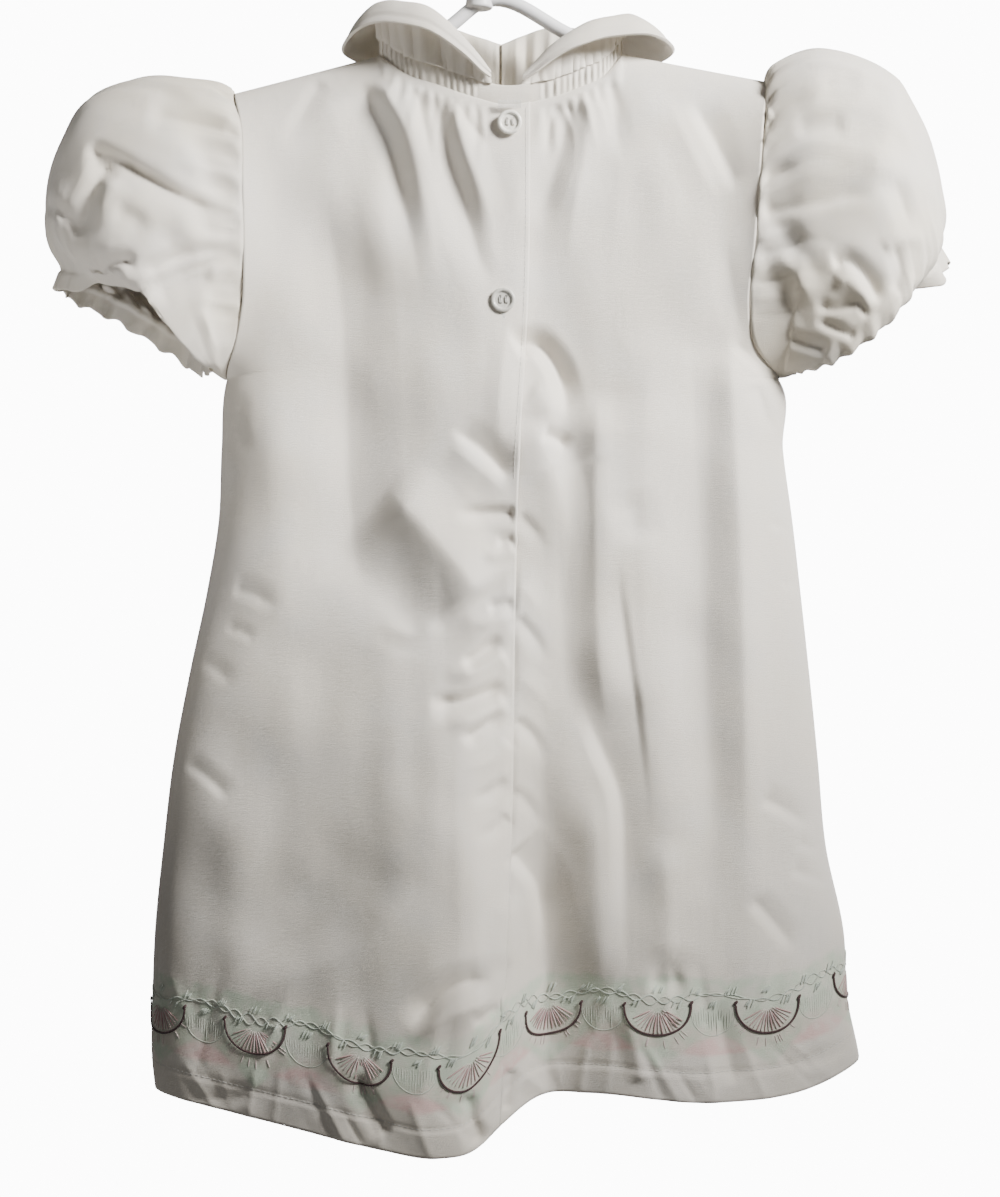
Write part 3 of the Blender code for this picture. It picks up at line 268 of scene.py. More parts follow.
    Crease(((60, 524), (66, 540), (70, 560)), 4, 5, 2.1, 0.3, 0.1),
)
FRONT_CREASES = (
    Crease(((-70, 96), (-66, 160), (-60, 230), (-54, 300)), 12, 14, -5.0, 0.2, 0.5),
    Crease(((-34, 100), (-33, 170), (-38, 250), (-40, 320)), 8, 10, -4.5, 0.1, 0.5),
    Crease(((-20, 104), (-18, 150), (-22, 210)), 4, 5, 2.5, 0.1, 0.6),
    Crease(((4, 104), (6, 180), (9, 270), (8, 360)), 10, 8, -5.5, 0.1, 0.5),
    Crease(((22, 104), (24, 150), (21, 200)), 4, 5, 2.5, 0.1, 0.6),
    Crease(((44, 100), (42, 170), (45, 250), (52, 330)), 9, 10, -5.0, 0.1, 0.5),
    Crease(((76, 96), (86, 150), (91, 210), (92, 270)), 10, 12, -4.0, 0.2, 0.5),
    Crease(((-104, 300), (-104, 400), (-106, 500), (-112, 620)), 15, 18, -9.0, 0.5, 0.01),
    Crease(((-52, 330), (-58, 430), (-60, 530), (-58, 640)), 20, 18, 8.0, 0.5, 0.01),
    Crease(((-4, 340), (0, 440), (2, 540), (-2, 640)), 16, 14, -9.0, 0.5, 0.01),
    Crease(((54, 330), (60, 430), (62, 530), (58, 640)), 18, 20, 8.0, 0.5, 0.01),
    Crease(((108, 290), (108, 400), (114, 510), (122, 620)), 15, 18, -9.0, 0.5, 0.01),
    Crease(((-84, 180), (-60, 196), (-36, 192)), 5, 6, -2.0),
    Crease(((20, 236), (46, 250), (70, 246)), 5, 6, -2.0),
    Crease(((-112, 224), (-96, 250), (-74, 268)), 5, 5, -2.6, 0.1, 0.6),
    Crease(((118, 224), (102, 250), (80, 270)), 5, 5, -2.6, 0.1, 0.6),
    Crease(((-30, 400), (-22, 440), (-24, 480)), 3, 6, -2.2),
    Crease(((84, 420), (80, 460), (86, 500)), 3, 6, -2.2),
)


def through(at, places, values):
    """Height at each place of a smooth curve through a short table."""
    places = np.asarray(places, float)
    values = np.asarray(values, float)
    slopes = np.gradient(values, places)
    row = np.clip(np.searchsorted(places, at) - 1, 0, len(places) - 2)
    span = places[row + 1] - places[row]
    u = np.clip((at - places[row]) / span, 0, 1)
    rise = 3 * u**2 - 2 * u**3
    level = (1 - rise) * values[row] + rise * values[row + 1]
    return level + span * u * (1 - u) * ((1 - u) * slopes[row] - u * slopes[row + 1])


def column(table, name):
    return [getattr(row, name) for row in table]


def ease(u):
    """A smooth rise from 0 to 1."""
    u = np.clip(u, 0, 1)
    return u * u * (3 - 2 * u)


def mound(across, width, fall=2):
    """1 in the middle, falling off to both sides over a width."""
    return np.exp(-(np.abs(across / width) ** fall))


def distances(line):
    """How far along a line of points each of them lies."""
    return np.concatenate([[0], np.cumsum(np.linalg.norm(np.diff(line, axis=0), axis=1))])


CREASE_REACH = 1.9  # where a crease's side ends, in half widths
CREASE_BOX = 2.6  # how far round its path it is worked out, in half widths
CREASE_FALL = 1.5
STEPS_PER_POINT = 5


def relief(creases, x, drop):
    """Height at each point of all the creases."""
    total = np.zeros(x.shape)
    for crease in creases:
        knots = np.array(crease.path, float)
        u = np.linspace(0, 1, STEPS_PER_POINT * len(knots))
        line = np.stack([through(u, np.linspace(0, 1, len(knots)), knots[:, k]) for k in (0, 1)], axis=-1)
        reach = CREASE_BOX * max(crease.left, crease.right)
        low, high = line.min(axis=0) - reach, line.max(axis=0) + reach
        near = (x > low[0]) & (x < high[0]) & (drop > low[1]) & (drop < high[1])
        px, pd = x[near], drop[near]
        best, turned, along = np.full(px.shape, 1e9), np.zeros(px.shape), np.zeros(px.shape)
        for k in range(len(line) - 1):
            (x0, d0), (dx, dd) = line[k], line[k + 1] - line[k]
            t = np.clip(((px - x0) * dx + (pd - d0) * dd) / (dx * dx + dd * dd), 0, 1)
            away = np.hypot(px - x0 - t * dx, pd - d0 - t * dd)
            closer = away < best
            best = np.where(closer, away, best)
            turned = np.where(closer, (px - x0) * dd - (pd - d0) * dx, turned)
            along = np.where(closer, u[k] + t * (u[k + 1] - u[k]), along)
        width = np.where(turned > 0, crease.right, crease.left)
        fade = ease(along / crease.fade_in) * ease((1 - along) / crease.fade_out)
        corner = crease.soft * width
        out = (np.hypot(best, corner) - corner) / (CREASE_REACH * width)
        total[near] += crease.height * fade * np.clip(1 - out, 0, 1) ** CREASE_FALL
    return total


WAVES_CROSSING = 3
WAVE_BENDS, BEND_RATE = (0.5, 2), 1.7


def crumple(x, drop, waves, seed):
    """Gentle unevenness of cloth: crossing waves of several lengths and directions."""
    random = np.random.default_rng(seed)
    total = np.zeros(np.broadcast(x, drop).shape)
    for length, height in waves:
        for _ in range(WAVES_CROSSING):
            turn = random.uniform(0, np.pi)
            phase = random.uniform(0, 2 * np.pi)
            bend = random.uniform(*WAVE_BENDS)
            across = x * np.cos(turn) + drop * np.sin(turn)
            along = drop * np.cos(turn) - x * np.sin(turn)
            bending = bend * np.sin(along / length * BEND_RATE)
            total += height * np.sin(2 * np.pi * across / length + bending + phase)
    return total


def side_edges(drop):
    drops = column(BODY, "drop")
    return through(drop, drops, column(BODY, "left")), through(drop, drops, column(BODY, "right"))


def top_drop(side, x):
    name = "back_drop" if side == BACK else "front_drop"
    neck = [row for row in TOP if NECK_LEFT <= row.x <= NECK_RIGHT]
    curved = through(x, column(neck, "x"), column(neck, name))
    straight = np.interp(x, column(TOP, "x"), column(TOP, name))
    return np.where((x > NECK_LEFT) & (x < NECK_RIGHT), curved, straight)


def hem_drop(side, x):
    return through(x, column(HEM, "x"), column(HEM, "back_drop" if side == BACK else "front_drop"))


def centre_back(drop):
    """X of the centre back line."""
    return through(drop, column(CENTRE_BACK, "drop"), column(CENTRE_BACK, "x"))


def lapped(from_centre):
    """How far the right back lies behind the left one, as a share, right of the centre back."""
    return 1 - ease((from_centre - UNDERLAP_CLEAR) / UNDERLAP_BLEND)


def down_fraction(down, top, hem):
    """Share of a column's height at row parameter down: 0 top, 1 underarm, 2 hem."""
    underarm = (UNDERARM_DROP - top) / (hem - top)
    arm = underarm * (1 - np.cos(np.pi * np.clip(down, 0, 1))) / 2
    return np.where(down < 1, arm, underarm + (1 - underarm) * np.clip(down - 1, 0, 1))


def body_edges(down):
    """Both side edges (x) at a row parameter."""
    edges = []
    for k, end in enumerate((0, -1)):
        top, hem = TOP[end].back_drop, HEM[end].back_drop
        edges.append(side_edges(top + (hem - top) * down_fraction(down, top, hem))[k])
    return edges


def body_drop(side, x, down):
    """Drop at x and a row parameter, the top edge's drop above it and the share of the width."""
    left, right = body_edges(down)
    a = np.clip((x - left) / (right - left), 0, 1)
    left_top, right_top = body_edges(np.zeros_like(down))
    left_hem, right_hem = body_edges(np.full_like(down, 2.0))
    top = top_drop(side, left_top + (right_top - left_top) * a)
    hem = hem_drop(side, left_hem + (right_hem - left_hem) * a)
    left_share = down_fraction(down, TOP[0].back_drop, HEM[0].back_drop)
    right_share = down_fraction(down, TOP[-1].back_drop, HEM[-1].back_drop)
    return top + (hem - top) * (left_share + (right_share - left_share) * a), top, a


def body_point(side, x, down):
    """Plain outer face of the body at x and row parameter, before its creases."""
    drop, top, a = body_drop(side, x, down)
    below = np.maximum(drop - top, 0)
    full = through(drop, column(BODY, "drop"), column(BODY, "back" if side == BACK else "front"))
    left_top, right_top = body_edges(np.zeros_like(down))
    at_top = left_top + (right_top - left_top) * a
    across = np.clip(np.abs(at_top - NECK_MIDDLE) / NECK_HALF, 0, 1)
    ring = NECK_DEPTH[side] * (1 - across**2) ** (0.5 + 1.5 * ease(below / NECK_FLATTENS))
    depth = ring + (full - ring) * np.sqrt(below / (below + SHOULDER_ROUND))
    arm = ARMHOLE_DEPTH * np.sin(np.pi * np.clip(down, 0, 1))
    edge = np.abs(2 * a - 1)
    depth = np.sqrt(arm**2 * edge**ARM_ROUND + depth**2 * (1 - edge**SIDE_ROUND))
    return np.stack([x, side * np.maximum(depth, SEAM / 2), -drop], axis=-1)


def seen(points):
    """X and drop as the camera sees them in the plane of the side seams."""
    grow = CAMERA_DISTANCE / (CAMERA_DISTANCE + points[..., 1])
    return (AIM.x + (points[..., 0] - AIM.x) * grow, -(AIM.z + (points[..., 2] - AIM.z) * grow))


GATHER_LENGTHS, GATHER_WIDTHS, GATHER_HEIGHT = (9, 34), (1.1, 1.9), 0.9
GATHER_BEND = 0.12
GATHER_FAN = 0.006  # how much further outwards a pleat leans for each step from the middle


def neck_gathers(side, ends, count, seed):
    """Short uneven pleats that run down from the neck casing and fan outwards."""
    random = np.random.default_rng(seed)
    starts = np.linspace(*ends, count)
    made = []
    for k, (x, drop) in enumerate(zip(starts, top_drop(side, starts))):
        length = random.uniform(*GATHER_LENGTHS)
        out = (x - NECK_MIDDLE) * GATHER_FAN * length
        bend = random.uniform(-GATHER_BEND, GATHER_BEND) * length
        path = ((x, drop), (x + out / 2 + bend, drop + length / 2), (x + out, drop + length))
        width = random.uniform(*GATHER_WIDTHS)
        height = GATHER_HEIGHT * random.uniform(0.5, 1.2) * (-1) ** k
        made.append(Crease(path, width, width, height, 0.02, 0.9))
    return made


PUCKER_FALL = 1.3
HEM_GROOVE, HEM_GROOVE_WIDTH = 0.55, 0.9
HEM_PROUD = 0.45
HEM_PUCKER_PITCH, HEM_PUCKER = 7.0, 1.1
BORDER_PUCKER_PITCH, BORDER_PUCKER = 9.0, 1.4


def hem_relief(x, h, seed):
    """The stitched hem: a groove at its stitching, a slightly proud band with slanting puckers."""
    random = np.random.default_rng(seed)
    total = -HEM_GROOVE * mound(h - HEM_HEIGHT, HEM_GROOVE_WIDTH)
    total += HEM_PROUD * ease((HEM_HEIGHT - 0.6 - h) / 1.2)
    places = np.arange(x.min(), x.max(), HEM_PUCKER_PITCH)
    for place in places + random.uniform(-3, 3, len(places)):
        size = random.uniform(-HEM_PUCKER, HEM_PUCKER)
        slant, width = random.uniform(-0.9, 0.2), random.uniform(1.4, 2.8)
        reach = ease((h + 2) / 5) * ease((random.uniform(15, 30) - h) / 9)
        total += size * reach * mound(x - place - slant * (h - HEM_HEIGHT), width, PUCKER_FALL)
    return total


def border_relief(x, h, seed):
    """Puckers that the dense embroidery draws into the cloth above the hem."""
    random = np.random.default_rng(seed)
    total = np.zeros(x.shape)
    places = np.arange(x.min(), x.max(), BORDER_PUCKER_PITCH)
    for place in places + random.uniform(-4, 4, len(places)):
        size = random.uniform(-BORDER_PUCKER, BORDER_PUCKER)
        slant, width = random.uniform(-0.5, 0.5), random.uniform(1.8, 3.8)
        centre, half = random.uniform(32, 48), random.uniform(10, 22)
        total += size * mound(h - centre, half) * mound(x - place - slant * (h - centre), width, PUCKER_FALL)
    return total


PANEL_ROWS, ARMHOLE_ROWS = 330, 89
CRUMPLE = ((120, 1.1), (56, 0.4), (27, 0.09))  # (length, height) of each wave
STREAKS = ((38, 0.26), (21, 0.10))
STREAK_LENGTH = 0.3  # a streak's drops are squeezed to this share, which draws it out downwards
TOP_CALM, TOP_SMOOTH = 9.0, 30.0  # creases and crumples are full from this far below the top edge


def panel_rows():
    """Row parameters: 0 to 1 beside the armhole and 1 to 2 down to the hem."""
    beside, under = np.linspace(0, 1, ARMHOLE_ROWS + 1), np.linspace(1, 2, PANEL_ROWS - ARMHOLE_ROWS)
    return np.concatenate([beside[:-1], under])


def creased(side, points, down, creases, seed):
    """A panel's points with its folds, crumple and puckers, and each point's height above the hem."""
    x, drop = seen(points) if side == BACK else (points[..., 0], -points[..., 2])
    left, right = body_edges(down)
    edge = np.abs(2 * np.clip((points[..., 0] - left) / (right - left), 0, 1) - 1)
    below = -points[..., 2] - top_drop(side, points[..., 0])
    h = (2 - down) * (hem_drop(side, points[..., 0]) - UNDERARM_DROP)
    inside = 1 - edge**6
    lift = relief(creases, x, drop) * (ease(below / TOP_CALM) * inside)
    lift += crumple(x, drop, CRUMPLE, seed) * ease(below / TOP_SMOOTH) * inside
    lift += crumple(x, drop * STREAK_LENGTH, STREAKS, seed + 5) * ease(below / TOP_SMOOTH) * inside
    lift += (hem_relief(x, h, seed + 1) + border_relief(x, h, seed + 2)) * (1 - edge**8)
    moved = points.copy()
    moved[..., 1] = side * np.maximum(points[..., 1] * side + lift, SEAM / 2)
    return moved, h


def cloth(name, points, cut, wall, middle, closed=False):
    """A cloth piece from a grid of outer points. Its cut coordinates go in a UV map, in metres."""
    rows, columns = points.shape[:2]
    bm = bmesh.new()
    bmesh.ops.create_grid(bm, x_segments=columns - 1, y_segments=rows - 1, size=1)
    mesh = bpy.data.meshes.new(name)
    bm.to_mesh(mesh)
    place = np.empty(len(mesh.vertices) * 3)
    mesh.vertices.foreach_get("co", place)
    share = (place.reshape(-1, 3)[:, :2] + 1) / 2
    c = np.rint(share[:, 0] * (columns - 1)).astype(int)
    r = np.rint(share[:, 1] * (rows - 1)).astype(int)
    mesh.vertices.foreach_set("co", (points[r, c] * MM).ravel())
    corners = np.empty(len(mesh.loops), int)
    mesh.loops.foreach_get("vertex_index", corners)
    mesh.uv_layers.new(name="cut").data.foreach_set("uv", (cut[r, c] * MM)[corners].ravel())
    bm.clear()
    bm.from_mesh(mesh)
    if closed:
        bmesh.ops.remove_doubles(bm, verts=bm.verts, dist=1e-7)
    facing = sum(face.normal.dot(face.calc_center_median() - Vector(middle) * MM) for face in bm.faces)
    if facing < 0:
        bmesh.ops.reverse_faces(bm, faces=bm.faces[:])
    bm.to_mesh(mesh)
    bm.free()
    mesh.shade_smooth()
    piece = in_scene(name, mesh)
    thick = piece.modifiers.new("wall", "SOLIDIFY")
    thick.thickness = wall * MM
    thick.offset = -1
    return piece


def normals(points, closed=False):
    """Unit normals of a grid of points, pointing along columns x rows."""
    if closed:
        ring = points[:, :-1]
        around = np.roll(ring, -1, axis=1) - np.roll(ring, 1, axis=1)
        around = np.concatenate([around, around[:, :1]], axis=1)
    else:
        around = np.gradient(points, axis=1)
    n = np.cross(around, np.gradient(points, axis=0))
    return n / np.maximum(np.linalg.norm(n, axis=-1, keepdims=True), 1e-12)


class Term:
    """A node's output in Python arithmetic: each operator adds its Math node."""

    def __init__(self, graph, socket):
        self.graph = graph
        self.socket = socket

    def maths(self, operation, *values):
        return self.graph.node("Math", {"operation": operation}, dict(enumerate(values)))

    def __add__(self, other):
        return self.maths("ADD", self, other)

    def __radd__(self, other):
        return self.maths("ADD", other, self)

    def __sub__(self, other):
        return self.maths("SUBTRACT", self, other)

    def __rsub__(self, other):
        return self.maths("SUBTRACT", other, self)

    def __mul__(self, other):
        return self.maths("MULTIPLY", self, other)

    def __rmul__(self, other):
        return self.maths("MULTIPLY", other, self)

    def __truediv__(self, other):
        return self.maths("DIVIDE", self, other)

    def __abs__(self):
        return self.maths("ABSOLUTE", self)

    def sin(self):
        return self.maths("SINE", self)

    def step(self, low, high):
        """0 below low and 1 above high, with a soft change between."""
        return self.graph.node("MapRange", {"interpolation_type": "SMOOTHSTEP"},
                               {"Value": self, "From Min": low, "From Max": high})


class Graph:
    """The nodes of one material, on a Principled BSDF whose constants are set on its sockets."""

    def __init__(self, name, **constants):
        self.material = bpy.data.materials.new(name)
        self.material.use_nodes = True
        self.nodes = self.material.node_tree.nodes
        self.shader = self.nodes["Principled BSDF"]
        for socket, value in constants.items():
            self.shader.inputs[socket.replace("_", " ")].default_value = value

    def node(self, kind, settings, values, output=0):
        made = self.nodes.new("ShaderNode" + kind)
        for name, value in settings.items():
            setattr(made, name, value)
        for socket, value in values.items():
            self.put(made.inputs[socket], value)
        return Term(self, made.outputs[output])

    def put(self, socket, value):
        if isinstance(value, Term):
            self.material.node_tree.links.new(value.socket, socket)
        else:
            socket.default_value = value

    def mix(self, factor, a, b):
        """Colour a where factor is 0 and b where it is 1."""
        a, b = [(*value, 1) if isinstance(value, tuple) else value for value in (a, b)]
        return self.node("Mix", {"data_type": "RGBA"}, {0: factor, 6: a, 7: b}, 2)

    def place(self):
        """Object coordinates, in metres."""
        return self.node("TexCoord", {}, {}, 3)

    def parts(self, vector, which):
        """Some of a vector's three parts."""
        return [self.node("SeparateXYZ", {}, {0: vector}, k) for k in which]

    def noise(self, vector, scale, detail=3.0, rough=0.55):
        values = {"Vector": vector, "Scale": scale, "Detail": detail, "Roughness": rough}
        return self.node("TexNoise", {}, values)

    def stretched(self, vector, scale):
        """The vector with each axis scaled, which draws a pattern out along the smaller ones."""
        return self.node("Mapping", {}, {"Vector": vector, "Scale": scale})

    def finish(self, colour, rough, height, depth):
        self.put(self.shader.inputs["Base Color"], colour)
        self.put(self.shader.inputs["Roughness"], rough)
        bump = self.node("Bump", {}, {"Height": height, "Distance": depth, "Strength": 1.0})
        self.put(self.shader.inputs["Normal"], bump)
        return self.material


WHITE = (0.80, 0.757, 0.695)
WARM = (0.775, 0.715, 0.60)
COOL = (0.745, 0.73, 0.70)
PINK = (0.78, 0.53, 0.51)
MINT = (0.58, 0.68, 0.55)
THREAD_PITCH = 0.36
PITCH = 51.0  # of the embroidered border
PHASE = -19.0  # centre of the motif beside the centre back
PINK_FOOT, PINK_TOP = 15, 29  # heights above the hem of the tints behind the embroidery
MINT_FOOT, MINT_TOP = 27, 49
CUT_HEIGHT = 35.0  # the border's places are measured round the dress at this height above the hem


def cotton(name, stain, border=False):
    """Plain-weave cotton: fine threads, faint slubs, uneven whiteness with age, and tiny wrinkles."""
    graph = Graph(name, Sheen_Weight=0.25, Sheen_Roughness=0.5, Specular_IOR_Level=0.28)
    place = graph.place()
    turns = 2 * np.pi / (THREAD_PITCH * MM)
    warp, weft = [(axis * turns).sin() for axis in graph.parts(place, (0, 2))]
    weave = warp * weft
    slub = graph.noise(graph.stretched(place, (1, 1, 9)), scale=260, detail=2)
    wrinkle = graph.noise(place, scale=55, detail=4, rough=0.6)
    age = graph.noise(place, scale=14)
    grey = graph.noise(place, scale=31, detail=2)
    colour = graph.mix(age.step(0.30, 0.72) * stain, WHITE, WARM)
    colour = graph.mix(grey.step(0.45, 0.8) * 0.5, colour, COOL)
    if border:
        cut = graph.node("UVMap", {"uv_map": "cut"}, {})
        s, h = [part / MM for part in graph.parts(cut, (0, 1))]
        turn = (s - PHASE) / PITCH
        swing = abs((turn * np.pi).sin())
        blot = graph.noise(place, scale=120)
        patchy = blot.step(0.36, 0.62)
        pink = (h - PINK_FOOT - (1 - swing) * 4 - blot * 6).step(0, 3)
        pink = pink * (1 - (h - PINK_TOP - blot * 3).step(0, 4))
        mint = (h - MINT_FOOT + swing + (1 - swing) * 16).step(0, 4)
        mint = mint * (1 - (h - MINT_TOP - blot * 5).step(0, 4))
        colour = graph.mix(pink * (0.34 + patchy * 0.45), colour, PINK)
        colour = graph.mix(mint * (0.32 + patchy * 0.48), colour, MINT)
    streak = graph.noise(graph.stretched(place, (1, 1, 0.25)), scale=75)
    height = weave * 0.10 + slub * 0.25 + wrinkle * 0.6 + streak * 0.7
    return graph.finish(colour, 0.60 + slub * 0.16, height, 0.0005)


PANELS = {}  # each panel's points, outward normals, border coordinates and heights above the hem
PANEL_COLUMNS = {"back_left": 128, "back_right": 128, "front": 118}
girth_cotton = cotton("body_cotton", 0.45, border=True)


def seam_depth(drop):
    """How deep the centre back seam pulls in, unevenly down its length."""
    return SEAM_SINK * (0.75 + 0.35 * np.sin(drop / 7.3) * np.sin(drop / 17.0 + 1))


def below_placket(drop):
    """0 down to the placket's end and 1 where the two halves are seamed and flat."""
    return ease((drop - PLACKET_END - PLACKET_FADE) / SEAM_SETTLES)


def body_panel(node, side, seed, creases, ends, first):
    """One panel. ends(rows) gives the x of its first and last column, and first is the border's
    coordinate at its first column, or, below 0, minus that at its last."""
    columns = PANEL_COLUMNS[node]
    down = np.broadcast_to(panel_rows()[:, None], (PANEL_ROWS, columns)).copy()
    start, stop = ends(down)
    points = body_point(side, start + (stop - start) * np.linspace(0, 1, columns), down)
    points, h = creased(side, points, down, creases, seed)
    middle = body_drop(BACK, np.full(down.shape, PLACKET_MIDDLE), down)[0]
    from_seam = points[..., 0] - centre_back(middle)
    if node == "back_right":
        behind = 1 - below_placket(middle)
        points[..., 1] += UNDERLAP_DEPTH * behind * lapped(from_seam)
        points[..., 1] += seam_depth(middle) * (1 - behind) * (1 - ease((from_seam + 0.4) / 2.4))
    if node == "back_left":
        rolled = SEAM_ROLL_SHARE * seam_depth(middle) * ease((from_seam + SEAM_ROLL) / SEAM_ROLL)
        points[..., 1] += rolled * below_placket(middle)
    row = np.argmin(np.abs(h[:, columns // 2] - CUT_HEIGHT))
    s = distances(points[row, :, :2])
    s = s + first if first >= 0 else s - s[-1]
    cut = np.stack([np.broadcast_to(s, h.shape), h], axis=-1)
    piece = cloth(node + "_cloth", points, cut, CLOTH, (0, 0, -UNDERARM_DROP))
    piece.data.materials.append(girth_cotton)
    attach(piece, "root")
    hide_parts(node)
    PANELS[node] = (points, -normals(points), s, h)
    return piece, s


def seam_x(down):
    return centre_back(body_drop(BACK, np.full(down.shape, PLACKET_MIDDLE), down)[0])


def underlap_x(down):
    middle = body_drop(BACK, np.full(down.shape, PLACKET_MIDDLE), down)[0]
    return centre_back(middle) - UNDERLAP + (UNDERLAP - SEAM_LAP) * ease((middle - PLACKET_END) / 6)


left_pleats = neck_gathers(BACK, ends=(-47, -4), count=19, seed=3)
right_pleats = neck_gathers(BACK, ends=(23, 57), count=15, seed=4)
front_pleats = neck_gathers(FRONT, ends=(-47, 57), count=44, seed=5)
back_left, s_left = body_panel("back_left", BACK, 11, [*BACK_CREASES, *left_pleats],
                               lambda down: (body_edges(down)[0], seam_x(down)), first=-1)
back_right, s_right = body_panel("back_right", BACK, 11, [*BACK_CREASES, *right_pleats],
                                 lambda down: (underlap_x(down), body_edges(down)[1]), first=0)
front, s_front = body_panel("front", FRONT, 13, [*FRONT_CREASES, *front_pleats],
                            lambda down: body_edges(down)[::-1], first=s_right[-1])


# ---------------------------------------------------------------------------------------------
# Sleeves: short puffs cut wide, gathered into the armholes and drawn in by elastic above a small
# ruffle. Rings fan about the underarm from the armhole to the elastic; the ruffle hangs free on
# the outer side and is turned under on the rest.
# ---------------------------------------------------------------------------------------------
Ring = namedtuple("Ring", "outer_x outer_drop under_x under_drop near far near_slip far_slip")
# A ring's outer and under points, its half depth on the back's (near) and the front's (far) side, and
# how far each of those halves slips along the sleeve.
LEFT_RINGS = (
    Ring(-126.0, 99.6, -122.0, 235.6, 28.0, 27.0, 0, 0),
    Ring(-143.0, 96.4, -123.0, 235.0, 33.0, 31.0, 1, 0),
    Ring(-165.0, 98.2, -124.0, 234.2, 36.0, 33.5, 2, 0),
    Ring(-184.0, 107.0, -125.0, 233.4, 38.0, 34.0, 3, 0),
    Ring(-196.5, 127.0, -126.0, 232.4, 38.0, 33.5, 4, 0),
    Ring(-203.5, 150.0, -127.0, 231.2, 35.0, 32.0, 0, 0),
    Ring(-203.0, 168.5, -128.0, 230.2, 31.0, 29.0, -6, -2),
    Ring(-196.5, 183.0, -129.0, 229.2, 26.0, 25.0, -13, -4),
)
RIGHT_RINGS = (
    Ring(131.5, 90.4, 134.0, 235.6, 28.0, 27.0, 0, 0),
    Ring(148.0, 83.8, 135.0, 235.3, 33.0, 31.0, 1, 0),
    Ring(168.0, 87.0, 136.0, 235.0, 36.0, 33.5, 2, 0),
    Ring(186.5, 97.8, 137.0, 234.6, 38.0, 34.0, 4, 0),
    Ring(197.5, 120.0, 138.0, 234.2, 38.0, 33.5, 7, 0),
    Ring(205.0, 144.0, 139.0, 233.8, 35.5, 32.0, 11, 0),
    Ring(207.0, 160.0, 140.0, 233.2, 31.5, 29.0, 14, -1),
    Ring(204.5, 172.0, 141.0, 232.4, 26.0, 25.0, 11, -3),
)
LEFT_LEAN, RIGHT_LEAN = 1.1, 0.0  # how much more a slip moves the lower half of a ring
SLEEVE_COLUMNS, SLEEVE_ROWS = 260, 62
SLEEVE_GAP = 0.1
SLEEVE_GIRTH = 330.0  # of the flat cut
SLEEVE_CRUMPLE = ((60, 0.5), (27, 0.15))
HIDDEN_SHIFT, HIDDEN_LOWER, HIDDEN_SHARE = 4, 5, 0.8  # the hidden side's folds, from the seen side's

# Pleats at places in degrees from the outer edge, each moved by up to the jitter. The last two are
# the powers with which a pleat falls off across and along itself.
Pleats = namedtuple("Pleats", "places jitter lengths widths heights across along")
ARMHOLE_PLEATS = Pleats(np.linspace(-128, 128, 40), 1.8, (7, 24), (1.5, 2.5), (0.9, 2.1), 1.5, 1.2)
CUFF_PLEATS = Pleats(np.linspace(0, 360, 52, endpoint=False), 1.2, (6, 17), (1.8, 2.9), (0.9, 1.9), 2, 1.5)

# The ruffle hangs free up to these degrees from the outer edge, on the back's and the front's side.
LEFT_FREE, RIGHT_FREE = (42.0, 200.0), (48.0, 60.0)
RUFFLE_ROWS, RUFFLE_LENGTH = 12, 8.0
RUFFLE_TURNS = 24.0  # degrees over which it goes from free to turned under
RUFFLE_TUCK = 0.85
FREE_LONGER = 0.4
FLUTE = 1.2
UNDERARM_FROM, UNDERARM_NARROWS = 0.75, 0.6
LEFT_SLEEVE_CREASES = (
    Crease(((-188, 130), (-179, 131), (-170, 135), (-159, 142), (-149, 148), (-138, 154), (-129, 157),
            (-117, 161)), 7, 3.2, -6.4, 0.12, 0.3),
    Crease(((-170, 142), (-156, 152), (-142, 159), (-130, 164)), 7, 4, 4.2, 0.3, 0.3, 0.4),
    Crease(((-176, 133), (-181, 143), (-185, 154), (-188, 165), (-192, 172)), 4, 4.5, -5.0, 0.1, 0.3),
    Crease(((-173, 141), (-177, 152), (-180, 168)), 4, 8, 3.4, 0.25, 0.4, 0.4),
    Crease(((-205, 156), (-196, 160), (-189, 167)), 2, 3.5, -3.4, 0.1, 0.4),
    Crease(((-174, 157), (-165, 161), (-155, 168)), 5, 3, -2.2, 0.3, 0.4, 0.4),
    Crease(((-158, 114), (-146, 116), (-133, 122), (-117, 136)), 5, 6, -3.4, 0.2, 0.35, 0.4),
    Crease(((-150, 107), (-134, 111), (-118, 117)), 5, 6, 2.1, 0.5, 0.05),
    Crease(((-138, 143), (-127, 148), (-114, 150)), 2.4, 4, -2.4, 0.4, 0.35),
    Crease(((-136, 166), (-126, 168), (-114, 169)), 2.4, 3.5, -2.2, 0.4, 0.35),
    Crease(((-186, 192), (-181, 186), (-175, 182), (-168, 181), (-162, 184)), 2.2, 3.6, -5.4, 0.2, 0.25),
    Crease(((-174, 191), (-165, 189), (-154, 184)), 3, 2.4, 3.4, 0.25, 0.3),
    Crease(((-174, 195), (-159, 186), (-149, 181), (-136, 177), (-113, 175)), 5, 3.0, -5.2, 0.15, 0.3),
    Crease(((-169, 198), (-158, 193), (-144, 187), (-130, 182), (-113, 179)), 3, 1.8, -3.2, 0.2, 0.3),
    Crease(((-157, 198), (-144, 192), (-126, 187)), 5, 4, -4.0, 0.3, 0.2, 0.3),
    Crease(((-198, 140), (-200, 158), (-197, 174)), 4, 4, 2.6),
    Crease(((-134, 200), (-128, 214), (-124, 228)), 3, 5, 2.3),
)
